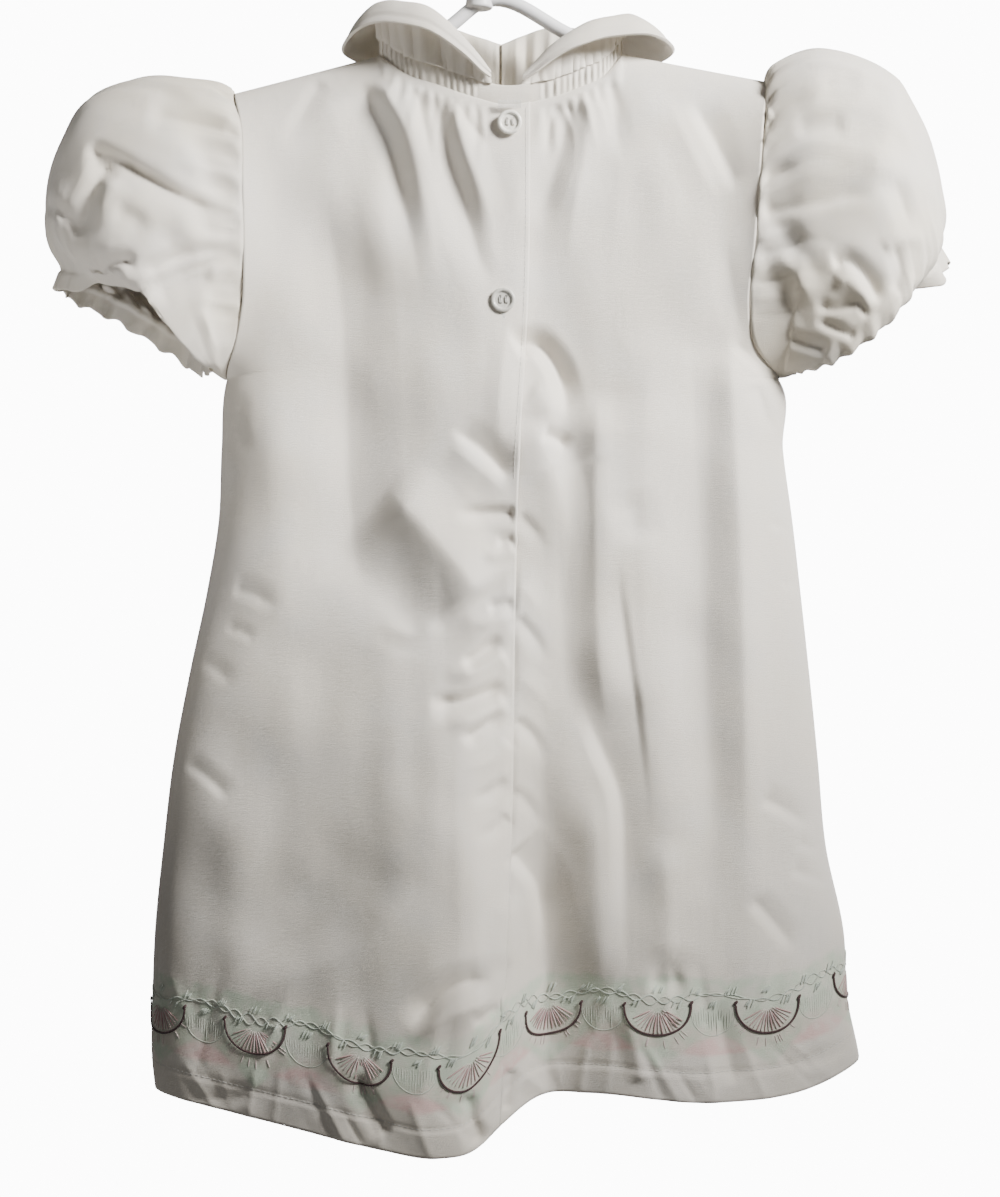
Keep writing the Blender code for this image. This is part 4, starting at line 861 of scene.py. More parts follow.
RIGHT_SLEEVE_CREASES = (
    Crease(((123, 158), (136, 157), (148, 155), (166, 151), (179, 149)), 2.6, 8, -2.8, 0.08, 0.3),
    Crease(((175, 124), (177, 136), (179, 148)), 9, 5, 1.8, 0.4, 0.5, 0.4),
    Crease(((127, 119), (146, 110), (162, 110), (180, 111)), 4, 5, 1.1, 0.2, 0.3),
    Crease(((139, 121), (150, 120), (164, 119)), 3, 5, -1.9, 0.3, 0.15, 0.4),
    Crease(((151, 101), (161, 100), (172, 99)), 4, 5, -1.2, 0.3, 0.3, 0.6),
    Crease(((186, 93), (188, 103), (186, 114)), 6, 3, 1.5, 0.3, 0.3),
    Crease(((123, 143), (132, 140), (143, 136)), 2.6, 4, -2.0, 0.05, 0.5),
    Crease(((123, 161), (130, 162), (139, 171), (148, 182), (157, 196)), 4, 4, -1.6, 0.3, 0.4, 0.4),
    Crease(((131, 176), (140, 188), (150, 202)), 5, 4, 1.9, 0.2, 0.3, 0.4),
    Crease(((120, 174), (131, 188), (141, 204), (153, 220)), 4, 4, -1.3, 0.3, 0.4, 0.4),
    Crease(((157, 183), (165, 181), (174, 189), (180, 201)), 2.6, 4, -3.5, 0.15, 0.15),
    Crease(((157, 191), (165, 191), (172, 198), (176, 206)), 4, 3, 2.2, 0.2, 0.2),
    Crease(((149, 200), (157, 203), (169, 201), (175, 208)), 2.2, 2.8, -2.5, 0.25, 0.15),
    Crease(((149, 207), (159, 212), (169, 216)), 2, 2.6, -2.3, 0.3, 0.15),
    Crease(((135, 215), (146, 219), (157, 222)), 2.4, 3, -2.5, 0.3, 0.2),
    Crease(((185, 141), (190, 155), (194, 166)), 4, 3, -1.9),
    Crease(((197, 125), (202, 145), (204, 168)), 3.5, 3.5, -1.7),
    Crease(((180, 108), (184, 130), (186, 150)), 6, 6, 1.5, 0.3, 0.3, 0.5),
    Crease(((185, 172), (189, 186), (185, 197)), 3, 3, -2.5, 0.2, 0.2),
    Crease(((181, 177), (189, 171), (204, 172)), 3, 3, 1.7, 0.2, 0.3),
    Crease(((128, 112), (140, 108), (150, 104)), 4, 4, -1.1, 0.05, 0.5),
    Crease(((186, 205), (180, 210), (174, 217)), 2, 3, -1.1),
)


def sleeve_points(rings, right, angle, slip_lean):
    """Outer points from the armhole to the elastic, each row's distance, the cuff's way and degrees."""
    turn = np.degrees(angle)
    down = np.where(turn <= 180, turn, 360 - turn) / 180
    x = body_edges(down)[1 if right else 0]
    back, far = body_point(BACK, x, down), body_point(FRONT, x, down)
    start = np.where((turn <= 180)[:, None], back, far)
    start[[0, len(angle) // 2, -1], 1] = 0
    centre = start[:-1].mean(axis=0)
    start = start + (centre - start) * np.array([0, 1, 1]) * (SLEEVE_GAP / ARMHOLE_DEPTH)
    start[:, 0] += SLEEVE_GAP if right else -SLEEVE_GAP
    knots = [start]
    for row in rings:
        outer = np.array([row.outer_x, 0, -row.outer_drop])
        under = np.array([row.under_x, 0, -row.under_drop])
        middle, chord = (outer + under) / 2, (outer - under) / 2
        axis = np.array([chord[2], 0, -chord[0]])
        axis = axis / np.linalg.norm(axis) * (1 if axis[2] < 0 else -1)
        c, s = np.cos(angle), np.sin(angle)
        depth = np.where(s > 0, row.near, row.far)
        slip = np.where(s > 0, row.near_slip, row.far_slip) * np.abs(s) ** 1.5 * (1 - slip_lean * c)
        knots.append(middle + chord * c[:, None] + np.array([0, -1, 0]) * (depth * s)[:, None]
                     + axis * slip[:, None])
    knots = np.array(knots)
    lengths = np.linalg.norm(np.diff(knots, axis=0), axis=-1).mean(axis=1)
    places = np.concatenate([[0], np.cumsum(lengths)])
    at = np.linspace(0, places[-1], SLEEVE_ROWS)
    grid = np.empty((SLEEVE_ROWS, len(angle), 3))
    for k in range(3):
        for c in range(len(angle)):
            grid[:, c, k] = through(at, places, knots[:, c, k])
    return grid, at, axis, turn


def add_pleats(ripple, pleats, turn, distance, rise, share, random):
    """Adds pleats round a ring, in and out by turns, that run from a seam into the cloth."""
    moves = random.uniform(-pleats.jitter, pleats.jitter, len(pleats.places))
    for k, place in enumerate(pleats.places + moves):
        away = (turn - place + 180) % 360 - 180
        length, width = random.uniform(*pleats.lengths), random.uniform(*pleats.widths)
        size = random.uniform(*pleats.heights) * (-1) ** k * rise
        across = mound(away, width, pleats.across)[None, :]
        ripple += size * across * mound(distance, length, pleats.along) * share


def ruffle(cuff, axis, angle, turn, free):
    """Rows of the ruffle: pinched in under the elastic, then fluted, and shorter where it turns under."""
    radial = cuff - cuff[:-1].mean(axis=0)
    radial /= np.linalg.norm(radial, axis=1, keepdims=True)
    past = [turn - free[0], 360 - turn - free[1]]
    tucked = np.minimum(*[ease((degrees + RUFFLE_TURNS / 2) / RUFFLE_TURNS) for degrees in past])
    flare = (0.1 - 0.45 * np.cos(angle)) * (1 - tucked) - RUFFLE_TUCK * tucked
    heading = axis * (1 - RUFFLE_TUCK * tucked)[:, None] + radial * flare[:, None]
    heading /= np.linalg.norm(heading, axis=1, keepdims=True)
    beats = np.sin(angle * 19 + np.sin(angle * 4)) + 0.4 * np.sin(angle * 31 + 1)
    tip = 1 - UNDERARM_NARROWS * ease((-np.cos(angle) - UNDERARM_FROM) / (1 - UNDERARM_FROM))
    edge = 1 + 0.09 * np.sin(angle * 17 + 2)
    rows = []
    for share in np.linspace(0, 1, RUFFLE_ROWS + 1)[1:]:
        pinch = -0.9 * mound(share - 0.16, 0.1)
        wave = (beats * FLUTE * share + pinch) * tip * (1 - 0.6 * tucked)
        reach = RUFFLE_LENGTH * share * edge * tip * (1 + FREE_LONGER - FREE_LONGER * tucked)
        rows.append(cuff + heading * reach[:, None] + radial * wave[:, None])
    return np.array(rows)


def sleeve(side_name, rings, right, free, slip_lean, creases, seed):
    angle = np.linspace(0, 2 * np.pi, SLEEVE_COLUMNS + 1)
    grid, at, axis, turn = sleeve_points(rings, right, angle, slip_lean)
    random = np.random.default_rng(seed)
    n = normals(grid, closed=True)
    if np.sum(n * (grid - grid.mean(axis=(0, 1)))) < 0:
        n = -n
    from_arm, to_cuff = at[:, None], (at[-1] - at)[:, None]
    upper = ease((np.cos(angle) + 0.75) / 0.4)[None, :]
    ripple = np.zeros(grid.shape[:2])
    add_pleats(ripple, ARMHOLE_PLEATS, turn, from_arm, ease(from_arm / 3), upper, random)
    add_pleats(ripple, CUFF_PLEATS, turn, to_cuff, 0.25 + 0.75 * ease(to_cuff / 4), 1, random)
    ripple += crumple(grid[..., 0] + 3 * grid[..., 1], -grid[..., 2], SLEEVE_CRUMPLE, seed)
    folds = relief(creases, *seen(grid))
    shift = HIDDEN_SHIFT if right else -HIDDEN_SHIFT
    hidden = relief(creases, grid[..., 0] + shift, -grid[..., 2] - HIDDEN_LOWER)
    calm = ease(from_arm / 5) * ease(to_cuff / 4 + 0.3)
    depth_share = ease(np.abs(grid[..., 1]) / 9)
    towards = np.where(grid[..., 1] < 0, -folds, HIDDEN_SHARE * hidden) * calm * depth_share
    grid = grid + n * ripple[..., None]
    grid[..., 1] += towards
    centre = grid.mean(axis=(0, 1))
    grid = np.concatenate([grid, ruffle(grid[-1], axis, angle, turn, free)])
    around = np.broadcast_to(np.linspace(0, SLEEVE_GIRTH, SLEEVE_COLUMNS + 1), grid.shape[:2])
    along = np.concatenate([at, at[-1] + np.linspace(0, RUFFLE_LENGTH, RUFFLE_ROWS + 1)[1:]])
    cut = np.stack([around, np.broadcast_to(along[:, None], around.shape)], axis=-1)
    piece = cloth(f"sleeve_{side_name}_cloth", grid, cut, CLOTH, centre, closed=True)
    piece.data.materials.append(sleeve_cotton)
    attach(piece, "root")
    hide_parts(f"sleeve_{side_name}")


sleeve_cotton = cotton("sleeve_cotton", 1.0)
sleeve("left", LEFT_RINGS, False, LEFT_FREE, LEFT_LEAN, LEFT_SLEEVE_CREASES, seed=21)
sleeve("right", RIGHT_RINGS, True, RIGHT_FREE, RIGHT_LEAN, RIGHT_SLEEVE_CREASES, seed=22)


# ---------------------------------------------------------------------------------------------
# Neck casing: a narrow doubled band, gathered in small upright pleats except beside the placket,
# where it lies flat. It stands on the panels' neck edges in three stretches.
# ---------------------------------------------------------------------------------------------
BAND_HEIGHT = 8.5
BAND_TUCK = 0.7  # the band's foot goes this far down into the panel's edge
BAND_WALL = 1.0
BAND_BELLY = 0.5
BAND_COLUMNS, BAND_ROWS = 150, 13
TAB_FROM, TAB_TO, TAB_EDGE = -4.0, 22.0, 3.0  # the flat stretch beside the placket
PLEAT_PITCH, PLEAT_DEPTH = 3.3, 0.8
collar_cotton = cotton("collar_cotton", 1.0)


def neck_band(part, side, ends, seed):
    x = ends[0] + (ends[1] - ends[0]) * (1 - np.cos(np.linspace(0, np.pi, BAND_COLUMNS))) / 2
    base = body_point(side, x, np.zeros_like(x))
    if part == "right":
        base[:, 1] += UNDERLAP_DEPTH * lapped(x - centre_back(PLACKET_TOP))
    length = distances(base)
    random = np.random.default_rng(seed)
    slow, quick = random.uniform(0, 6), random.uniform(0, 6)
    warp = np.sin(length / 9.0 + slow) * 1.1 + 0.55 * np.sin(length / 3.7 + quick)
    pleat = np.sin(2 * np.pi * (length + warp) / PLEAT_PITCH)
    uneven = 0.65 + 0.35 * np.sin(length / 4.1) * np.sin(length / 1.9)
    pleat = np.sign(pleat) * np.abs(pleat) ** 0.7 * uneven
    if side == BACK:
        tab = ease((x - TAB_FROM + TAB_EDGE) / TAB_EDGE) * ease((TAB_TO + TAB_EDGE - x) / TAB_EDGE)
        pleat = pleat * (1 - tab)
    pleat = pleat * ease(length / 2) * ease((length[-1] - length) / 2)
    rows = []
    for share in np.linspace(0, 1, BAND_ROWS):
        row = base.copy()
        row[:, 2] += BAND_HEIGHT * share - BAND_TUCK * (1 - share)
        belly = np.sin(np.pi * share)
        row[:, 1] += side * (pleat * PLEAT_DEPTH * (0.35 + 0.65 * belly) + BAND_BELLY * belly)
        rows.append(row)
    grid = np.array(rows)[::-1]
    grid[..., 1] = side * np.maximum(grid[..., 1] * side, SEAM / 2)
    up = np.arange(BAND_ROWS) * BAND_HEIGHT / (BAND_ROWS - 1)
    cut = np.stack(np.broadcast_arrays(length[None, :], up[:, None]), axis=-1)
    piece = cloth(f"neck_band_{part}_cloth", grid, cut, BAND_WALL, (0, 0, grid[..., 2].mean()))
    piece.data.materials.append(collar_cotton)
    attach(piece, "root")
    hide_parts(f"neck_band_{part}")


top_seam = float(centre_back(top_drop(BACK, np.array(PLACKET_MIDDLE))))
neck_band("left", BACK, (NECK_LEFT, top_seam), 31)
neck_band("right", BACK, (top_seam - UNDERLAP, NECK_RIGHT), 32)
neck_band("front", FRONT, (NECK_LEFT, NECK_RIGHT), 33)


# ---------------------------------------------------------------------------------------------
# Collar: two doubled halves that meet at the centre front, stand up from the casing and roll over
# outwards. At the back they stand high behind the neck, and at the front they fall lower.
# ---------------------------------------------------------------------------------------------
Roll = namedtuple("Roll", "angle roll_out roll_up edge_out edge_up")
LEFT_COLLAR = (
    Roll(4.5, 2.0, 5.0, 4.5, 2.2),
    Roll(8, 3.0, 9.3, 7.0, 3.6),
    Roll(15, 4.5, 15.5, 10.0, 8.0),
    Roll(25, 6.0, 21.5, 12.5, 11.5),
    Roll(35, 6.5, 25.0, 13.5, 13.5),
    Roll(50, 6.5, 24.0, 14.0, 13.0),
    Roll(70, 5.0, 17.0, 15.0, 5.0),
    Roll(90, 4.5, 11.0, 17.5, -5.0),
    Roll(112, 5.0, 15.0, 18.0, -5.0),
    Roll(135, 5.5, 21.0, 18.0, -6.0),
    Roll(158, 6.0, 26.0, 17.0, -6.0),
    Roll(172, 5.0, 24.0, 13.0, 2.0),
    Roll(181.5, 3.0, 22.0, 7.0, 10.0),
)
RIGHT_COLLAR = (
    Roll(10, 2.0, 4.5, 4.5, 2.2),
    Roll(15, 3.0, 9.0, 7.0, 4.0),
    Roll(22, 5.0, 14.0, 10.0, 7.0),
    Roll(30, 6.0, 17.0, 12.0, 9.0),
    Roll(40, 6.5, 19.5, 13.0, 9.5),
    Roll(50, 7.0, 19.5, 14.0, 9.5),
    Roll(70, 7.5, 12.5, 19.0, 1.5),
    Roll(90, 8.0, 5.5, 24.0, -6.0),
    Roll(112, 7.0, 12.0, 21.0, -6.0),
    Roll(135, 6.0, 20.0, 18.0, -6.0),
    Roll(158, 6.0, 28.0, 17.0, -6.0),
    Roll(172, 5.0, 25.0, 13.0, 2.0),
    Roll(179.5, 3.0, 22.0, 7.0, 10.0),
)
COLLAR_LIFT = -0.6  # of the collar's foot, from a seam's width above the casing
COLLAR_WALL = 1.3
COLLAR_COLUMNS, COLLAR_ROWS = 190, 40
COLLAR_LAP = 1.5  # how far the left half runs past the middle of the front
COLLAR_CUT = 45.0  # from foot to free edge, laid flat
FOOT_TO_EDGE = (0, 0.35, 0.62, 0.82, 1.0)  # foot, stand, roll, fall and free edge
EDGE_SEAM, EDGE_SEAM_WIDTH = 0.93, 0.018  # the seam along the free edge, on the same scale
RIM_ROUND = 0.35
CLOSING_OUT, CLOSING_FROM, CLOSING_OVER = 1.7, 173.0, 6.0


def collar(part, table, right, seed):
    angles = column(table, "angle")
    angle = through(np.linspace(0, 1, COLLAR_COLUMNS), np.linspace(0, 1, len(angles)), angles)
    turn = 1 if right else -1
    radians = np.radians(angle)
    x = NECK_MIDDLE + turn * NECK_HALF * np.sin(radians)
    zero = np.zeros_like(x)
    base = np.where((angle < 90)[:, None], body_point(BACK, x, zero), body_point(FRONT, x, zero))
    if right:
        base[:, 1] += UNDERLAP_DEPTH * lapped(x - centre_back(PLACKET_TOP)) * (angle < 90)
    base[:, 2] += SEAM + BAND_HEIGHT + COLLAR_LIFT
    depth = np.where(angle < 90, NECK_DEPTH[BACK], NECK_DEPTH[FRONT])
    outward = np.stack([turn * np.sin(radians) / NECK_HALF, -np.cos(radians) / depth, zero], axis=-1)
    outward /= np.linalg.norm(outward, axis=1, keepdims=True)
    shape = {name: through(angle, angles, column(table, name)) for name in Roll._fields[1:]}
    out = np.stack([zero, 0.15 * shape["roll_out"], shape["roll_out"],
                    (shape["roll_out"] + shape["edge_out"]) / 2 + 1.0, shape["edge_out"]])
    up = np.stack([zero, 0.6 * shape["roll_up"], shape["roll_up"],
                   (shape["roll_up"] + shape["edge_up"]) / 2 + 1.5, shape["edge_up"]])
    along = distances(base)
    random = np.random.default_rng(seed)
    # soft folds down the stand, and small rumples where the foot is gathered
    stand_folds, rumples = zero.copy(), zero.copy()
    for place in np.linspace(3, along[-1] - 3, 26) + random.uniform(-2, 2, 26):
        size, width = random.uniform(-2.0, 2.0), random.uniform(1.4, 3.0)
        stand_folds += size * mound(along - place, width, 1.5)
    for place in np.linspace(1, along[-1] - 1, 60) + random.uniform(-0.8, 0.8, 60):
        rumples += random.uniform(-0.7, 0.7) * mound(along - place, 0.8)
    # at the centre front the left half ends just outside the right one
    closing = zero if right else CLOSING_OUT * ease((angle - CLOSING_FROM) / CLOSING_OVER)
    rows = []
    for q in np.linspace(0, 1, COLLAR_ROWS):
        out_q = np.array([through(q, FOOT_TO_EDGE, out[:, k]) for k in range(len(angle))])
        up_q = np.array([through(q, FOOT_TO_EDGE, up[:, k]) for k in range(len(angle))])
        out_q = out_q + stand_folds * np.sin(np.pi * np.clip(q / FOOT_TO_EDGE[2], 0, 1))
        out_q = out_q + rumples * mound(q, 0.2)
        out_q = out_q + 0.5 * np.sin(along / 7.0 + seed) * ease((q - 0.5) / 0.4) + closing
        out_q = out_q - 0.5 * mound(q - EDGE_SEAM, EDGE_SEAM_WIDTH)
        row = base + outward * out_q[:, None]
        row[:, 2] += up_q + 0.35 * np.sin(along / 5.3 + seed) * ease((q - 0.3) / 0.4)
        rows.append(row)
    grid = np.array(rows)
    stop = SEAM if right else -COLLAR_LAP
    grid[..., 0] = NECK_MIDDLE + turn * np.maximum((grid[..., 0] - NECK_MIDDLE) * turn, stop)
    outwards = np.linspace(0, COLLAR_CUT, COLLAR_ROWS)
    cut = np.stack(np.broadcast_arrays(along[None, :], outwards[:, None]), axis=-1)
    centre = (NECK_MIDDLE, 0, grid[0, :, 2].mean() - 12)
    piece = cloth(f"collar_{part}_cloth", grid, cut, COLLAR_WALL, centre)
    rim = piece.modifiers.new("rim", "BEVEL")
    rim.width, rim.segments, rim.limit_method = RIM_ROUND * MM, 2, "ANGLE"
    rim.angle_limit = np.radians(60)
    piece.data.materials.append(collar_cotton)
    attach(piece, "root")
    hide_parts(f"collar_{part}")


collar("left", LEFT_COLLAR, right=False, seed=41)
collar("right", RIGHT_COLLAR, right=True, seed=42)


# ---------------------------------------------------------------------------------------------
# Buttons: two small four-hole shirt buttons of pearly plastic with a raised rim, each sewn on with
# white thread through its holes.
# ---------------------------------------------------------------------------------------------
BUTTON_RADIUS, BUTTON_THICK, BUTTON_RIM, BUTTON_DISH = 5.5, 2.2, 1.3, 0.9
HOLE_RADIUS, HOLE_SPACING = 0.7, 2.6
SHARP = np.radians(50)  # a moulded edge with a wider turn than this stays sharp


def darker(colour):
    return tuple(0.82 * c for c in colour)


def pearl(name, tint):
    """Pearly polyester: cloudy swirls under a clear gloss."""
    graph = Graph(name, Specular_IOR_Level=0.6, Coat_Roughness=0.12)
    place = graph.place()
    swirl = graph.node("TexNoise", {}, {"Vector": place, "Scale": 420, "Detail": 4, "Distortion": 2.5})
    scratch = graph.noise(place, scale=1400, detail=2)
    colour = graph.mix(swirl.step(0.35, 0.7), tint, darker(tint))
    graph.put(graph.shader.inputs["Coat Weight"], 0.5)
    return graph.finish(colour, 0.24 + scratch * 0.12, scratch + swirl * 0.6, 0.00003)


def button(node, material):
    low, high = [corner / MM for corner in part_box(node)]
    centre = (low + high) / 2
    r, t = BUTTON_RADIUS, BUTTON_THICK
    dish = r - BUTTON_RIM
    profile = [(0, 0), (r - 0.8, 0), (r - 0.25, 0.2), (r, 0.75), (r, t - 0.75), (r - 0.2, t - 0.22),
               (r - 0.55, t), (dish + 0.1, t), (dish - 0.25, t - 0.18), (dish - 0.6, t - BUTTON_DISH),
               (0, t - BUTTON_DISH - 0.1)]
    bm = bmesh.new()
    verts = [bm.verts.new((radius * MM, 0, height * MM)) for radius, height in profile]
    edges = [bm.edges.new(pair) for pair in zip(verts[:-1], verts[1:])]
    bmesh.ops.spin(bm, geom=verts + edges, cent=(0, 0, 0), axis=(0, 0, 1), angle=2 * np.pi, steps=64,
                   use_merge=True)
    bmesh.ops.remove_doubles(bm, verts=bm.verts, dist=1e-6)
    bmesh.ops.recalc_face_normals(bm, faces=bm.faces[:])
    mesh = bpy.data.meshes.new(node + "_pearl")
    bm.to_mesh(mesh)
    bm.clear()
    for dx in (-1, 1):
        for dz in (-1, 1):
            place = Matrix.Translation(Vector((dx, dz, 0)) * HOLE_SPACING / 2 * MM)
            bmesh.ops.create_cone(bm, cap_ends=True, segments=20, radius1=HOLE_RADIUS * MM,
                                  radius2=HOLE_RADIUS * MM, depth=4 * t * MM, matrix=place)
    holes = bpy.data.meshes.new("holes")
    bm.to_mesh(holes)
    bm.free()
    piece, cutter = in_scene(node + "_pearl", mesh), in_scene("holes", holes)
    cut = piece.modifiers.new("holes", "BOOLEAN")
    cut.object = cutter
    bpy.context.view_layer.update()
    made = bpy.data.meshes.new_from_object(piece.evaluated_get(bpy.context.evaluated_depsgraph_get()))
    bpy.data.objects.remove(cutter)
    piece.modifiers.clear()
    # lie flat against the cloth: the profile's axis turns from +Z to -Y
    seat = Matrix.Translation(Vector((centre.x, high.y, centre.z)) * MM)
    made.transform(seat @ Matrix.Rotation(np.pi / 2, 4, "X"))
    made.shade_smooth()
    made.set_sharp_from_angle(angle=SHARP)
    made.materials.clear()
    made.materials.append(material)
    piece.data = made
    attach(piece, "root")
    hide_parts(node)
    return centre, high.y


top_button = button("button_top", pearl("button_top_pearl", (0.90, 0.88, 0.81)))
# the low button is the same pearly plastic as the top one; its darker tint is painted shade for the less lit
# place where it sits
low_button = button("button_low", pearl("button_low_pearl", (0.60, 0.59, 0.545)))


# ---------------------------------------------------------------------------------------------
# Sewing: white thread. Each stitch is a small rounded strand lying on the cloth. The hem's and the
# placket's stitches are joined into one mesh, and the buttons' threads into another.
# ---------------------------------------------------------------------------------------------
PLY_PITCH = 0.45
HEM_STITCH, PLACKET_STITCH, STITCH_GAP = 1.9, 1.8, 0.9
PLACKET_EDGE = 0.985  # place of the placket's stitching, as a share of the left back's width
STITCH_LIFT = 0.12
STITCH_THREAD, BUTTON_THREAD = 0.32, 0.42


def thread_material(name, colour, rough=0.55):
    """Twisted embroidery or sewing thread: a fine slanting ply with a soft shine."""
    graph = Graph(name, Sheen_Weight=0.3, Specular_IOR_Level=0.4)
    place = graph.place()
    x, y, z = graph.parts(place, range(3))
    ply = ((x + z * 0.8 + y * 0.5) * (2 * np.pi / (PLY_PITCH * MM))).sin()
    tone = graph.noise(place, scale=160, detail=2)
    shade = graph.mix(tone.step(0.35, 0.7), colour, darker(colour))
    return graph.finish(shade, rough + ply * 0.05, ply, 0.00005)


def strand_mesh():
    """One strand, 1 long and 1 thick, as vertices and faces: a sphere with few faces."""
    bm = bmesh.new()
    bmesh.ops.create_uvsphere(bm, u_segments=6, v_segments=4, radius=0.5)
    points = np.array([vert.co for vert in bm.verts])
    points[:, 2] = np.sign(points[:, 2]) * (np.abs(points[:, 2]) * 2) ** 0.6 / 2
    faces = [[vert.index for vert in face.verts] for face in bm.faces]
    bm.free()
    return points, faces


STRAND_POINTS, STRAND_FACES = strand_mesh()  # shared by every strand


def strands(name, starts, ends, ups, thick, material, slot="body_cloth", flat=0.7):
    """A mesh of separate strands from starts to ends, flattened towards the cloth along ups."""
    starts, ends, ups = [np.asarray(value, float) for value in (starts, ends, ups)]
    along = ends - starts
    length = np.linalg.norm(along, axis=1, keepdims=True)
    w = along / length
    u = np.cross(ups, w)
    u /= np.linalg.norm(u, axis=1, keepdims=True)
    v = np.cross(w, u)
    p = STRAND_POINTS
    thick = np.broadcast_to(np.asarray(thick, float).reshape(-1, 1), length.shape)
    points = ((starts + ends) / 2)[:, None] + (u * thick)[:, None] * p[None, :, :1]
    points = points + (v * thick * flat)[:, None] * p[None, :, 1:2]
    points = points + (w * (length + thick))[:, None] * p[None, :, 2:]
    count = len(p)
    faces = [[index + k * count for index in face] for k in range(len(starts)) for face in STRAND_FACES]
    mesh = bpy.data.meshes.new(name)
    mesh.from_pydata((points.reshape(-1, 3) * MM).tolist(), [], faces)
    bm = bmesh.new()
    bm.from_mesh(mesh)
    bmesh.ops.recalc_face_normals(bm, faces=bm.faces[:])
    bm.to_mesh(mesh)
    bm.free()
    mesh.shade_smooth()
    mesh.materials.append(material)
    piece = in_scene(name, mesh)
    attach(piece, "root")


def sample(grid, r, c):
    """Value of a grid at fractional rows and columns."""
    r0 = np.clip(np.floor(r).astype(int), 0, grid.shape[0] - 2)
    c0 = np.clip(np.floor(c).astype(int), 0, grid.shape[1] - 2)
    fr, fc = (r - r0)[..., None], (c - c0)[..., None]
    top = grid[r0, c0] * (1 - fc) + grid[r0, c0 + 1] * fc
    low = grid[r0 + 1, c0] * (1 - fc) + grid[r0 + 1, c0 + 1] * fc
    return top * (1 - fr) + low * fr


def stitch_line(line, ups, length, gap):
    """Starts, ends and ups of running stitches along a line of points."""
    reach = distances(line)
    begins = np.arange(gap, reach[-1] - length, length + gap)
    at = lambda places, values: np.stack([np.interp(places, reach, values[:, k]) for k in range(3)], axis=-1)
    return at(begins, line), at(begins + length, line), at(begins + length / 2, ups)


def panel_line(node, h=None, share=None, drops=None):
    """Points and normals along a panel: at a height above the hem, or down one column."""
    points, ups, _, heights = PANELS[node]
    if h is not None:
        rows = np.arange(len(heights))
        r = np.array([np.interp(-h, -heights[:, k], rows) for k in range(heights.shape[1])])
        c = np.arange(heights.shape[1], dtype=float)
    else:
        keep = (-points[:, 0, 2] > drops[0]) & (-points[:, 0, 2] < drops[1])
        r = np.flatnonzero(keep).astype(float)
        c = np.full(len(r), share * (points.shape[1] - 1))
    ups_here = sample(ups, r, c)
    return sample(points, r, c) + ups_here * STITCH_LIFT, ups_here


white_thread = thread_material("white_thread", (0.80, 0.79, 0.76))
runs = [stitch_line(*panel_line(node, h=HEM_HEIGHT), HEM_STITCH, STITCH_GAP) for node in PANELS]
placket_line = panel_line("back_left", share=PLACKET_EDGE, drops=(106, 275))
runs.append(stitch_line(*placket_line, PLACKET_STITCH, STITCH_GAP))
strands("body_stitching", *[np.concatenate(part) for part in zip(*runs)], STITCH_THREAD, white_thread)

# each strand's start, end and up: the loops through the buttons' holes and down into them, the bar
# of the top buttonhole, and the threads below the low button
sewing = []
for centre, back in (top_button, low_button):
    face = back - BUTTON_THICK + BUTTON_DISH
    for dx in (-0.5, 0.5):
        for shift in (-0.22, 0.22):
            x = centre.x + dx * HOLE_SPACING + shift
            for y in (face - 0.15, face - 0.4):
                sewing.append(((x, y, centre.z - HOLE_SPACING / 2),
                               (x + shift * 0.6, y, centre.z + HOLE_SPACING / 2), (0, -1, 0)))
            for dz in (-0.5, 0.5):
                z = centre.z + dz * HOLE_SPACING
                sewing.append(((x, face - 0.2, z), (x, face + 1.3, z), (1, 0, 0)))
centre, back = top_button
for x in np.linspace(centre.x - 5.0, centre.x + 5.0, 17):
    for z in (centre.z + 9.2, centre.z + 7.4):
        sewing.append(((x - 0.2, back - 0.25, z - 0.9), (x + 0.2, back - 0.25, z + 0.9), (0, -1, 0)))
centre, back = low_button
for k in range(5):
    sewing.append(((centre.x + 0.6 - 0.3 * k, back - 0.3, centre.z - 5.6),
                   (centre.x + 0.9 - 0.25 * k, back - 0.3, centre.z - 8.6 - 0.4 * (k % 2)), (0, -1, 0)))
strands("button_thread", *zip(*sewing), BUTTON_THREAD, white_thread)


# ---------------------------------------------------------------------------------------------
# Embroidered border: a plain repeat of small fans above the hem. Each has a dark red corded arc
# under pink and pale rays; between two fans is a pale green half-moon, and over them run two
# twining green cords with little leaves.
# ---------------------------------------------------------------------------------------------
ARC_TOP, ARC_DEPTH, ARC_HALF = 41.0, 13.0, 15.0
RAY_COUNT, RAY_SPREAD = 15, 1.05
MOON_STITCH, MOON_DEPTH, MOON_RIM = 1.25, 11.5, 12.5
MOON_HALF = PITCH / 2 - ARC_HALF - 1.0
LEAF_PITCH = PITCH / 6
TWINE_PITCH = PITCH / 4
CORD_OVERLAP, CORD_SLANT = 1.9, 0.28  # a cord's strand in steps long, and its tilt in thicknesses
MAROON = (0.060, 0.022, 0.026)
ROSE = (0.62, 0.40, 0.40)
PALE_PINK = (0.74, 0.62, 0.60)
LEAF = (0.64, 0.68, 0.59)
PALE_MINT = (0.67, 0.74, 0.66)
CORD_HEIGHT = 45.0


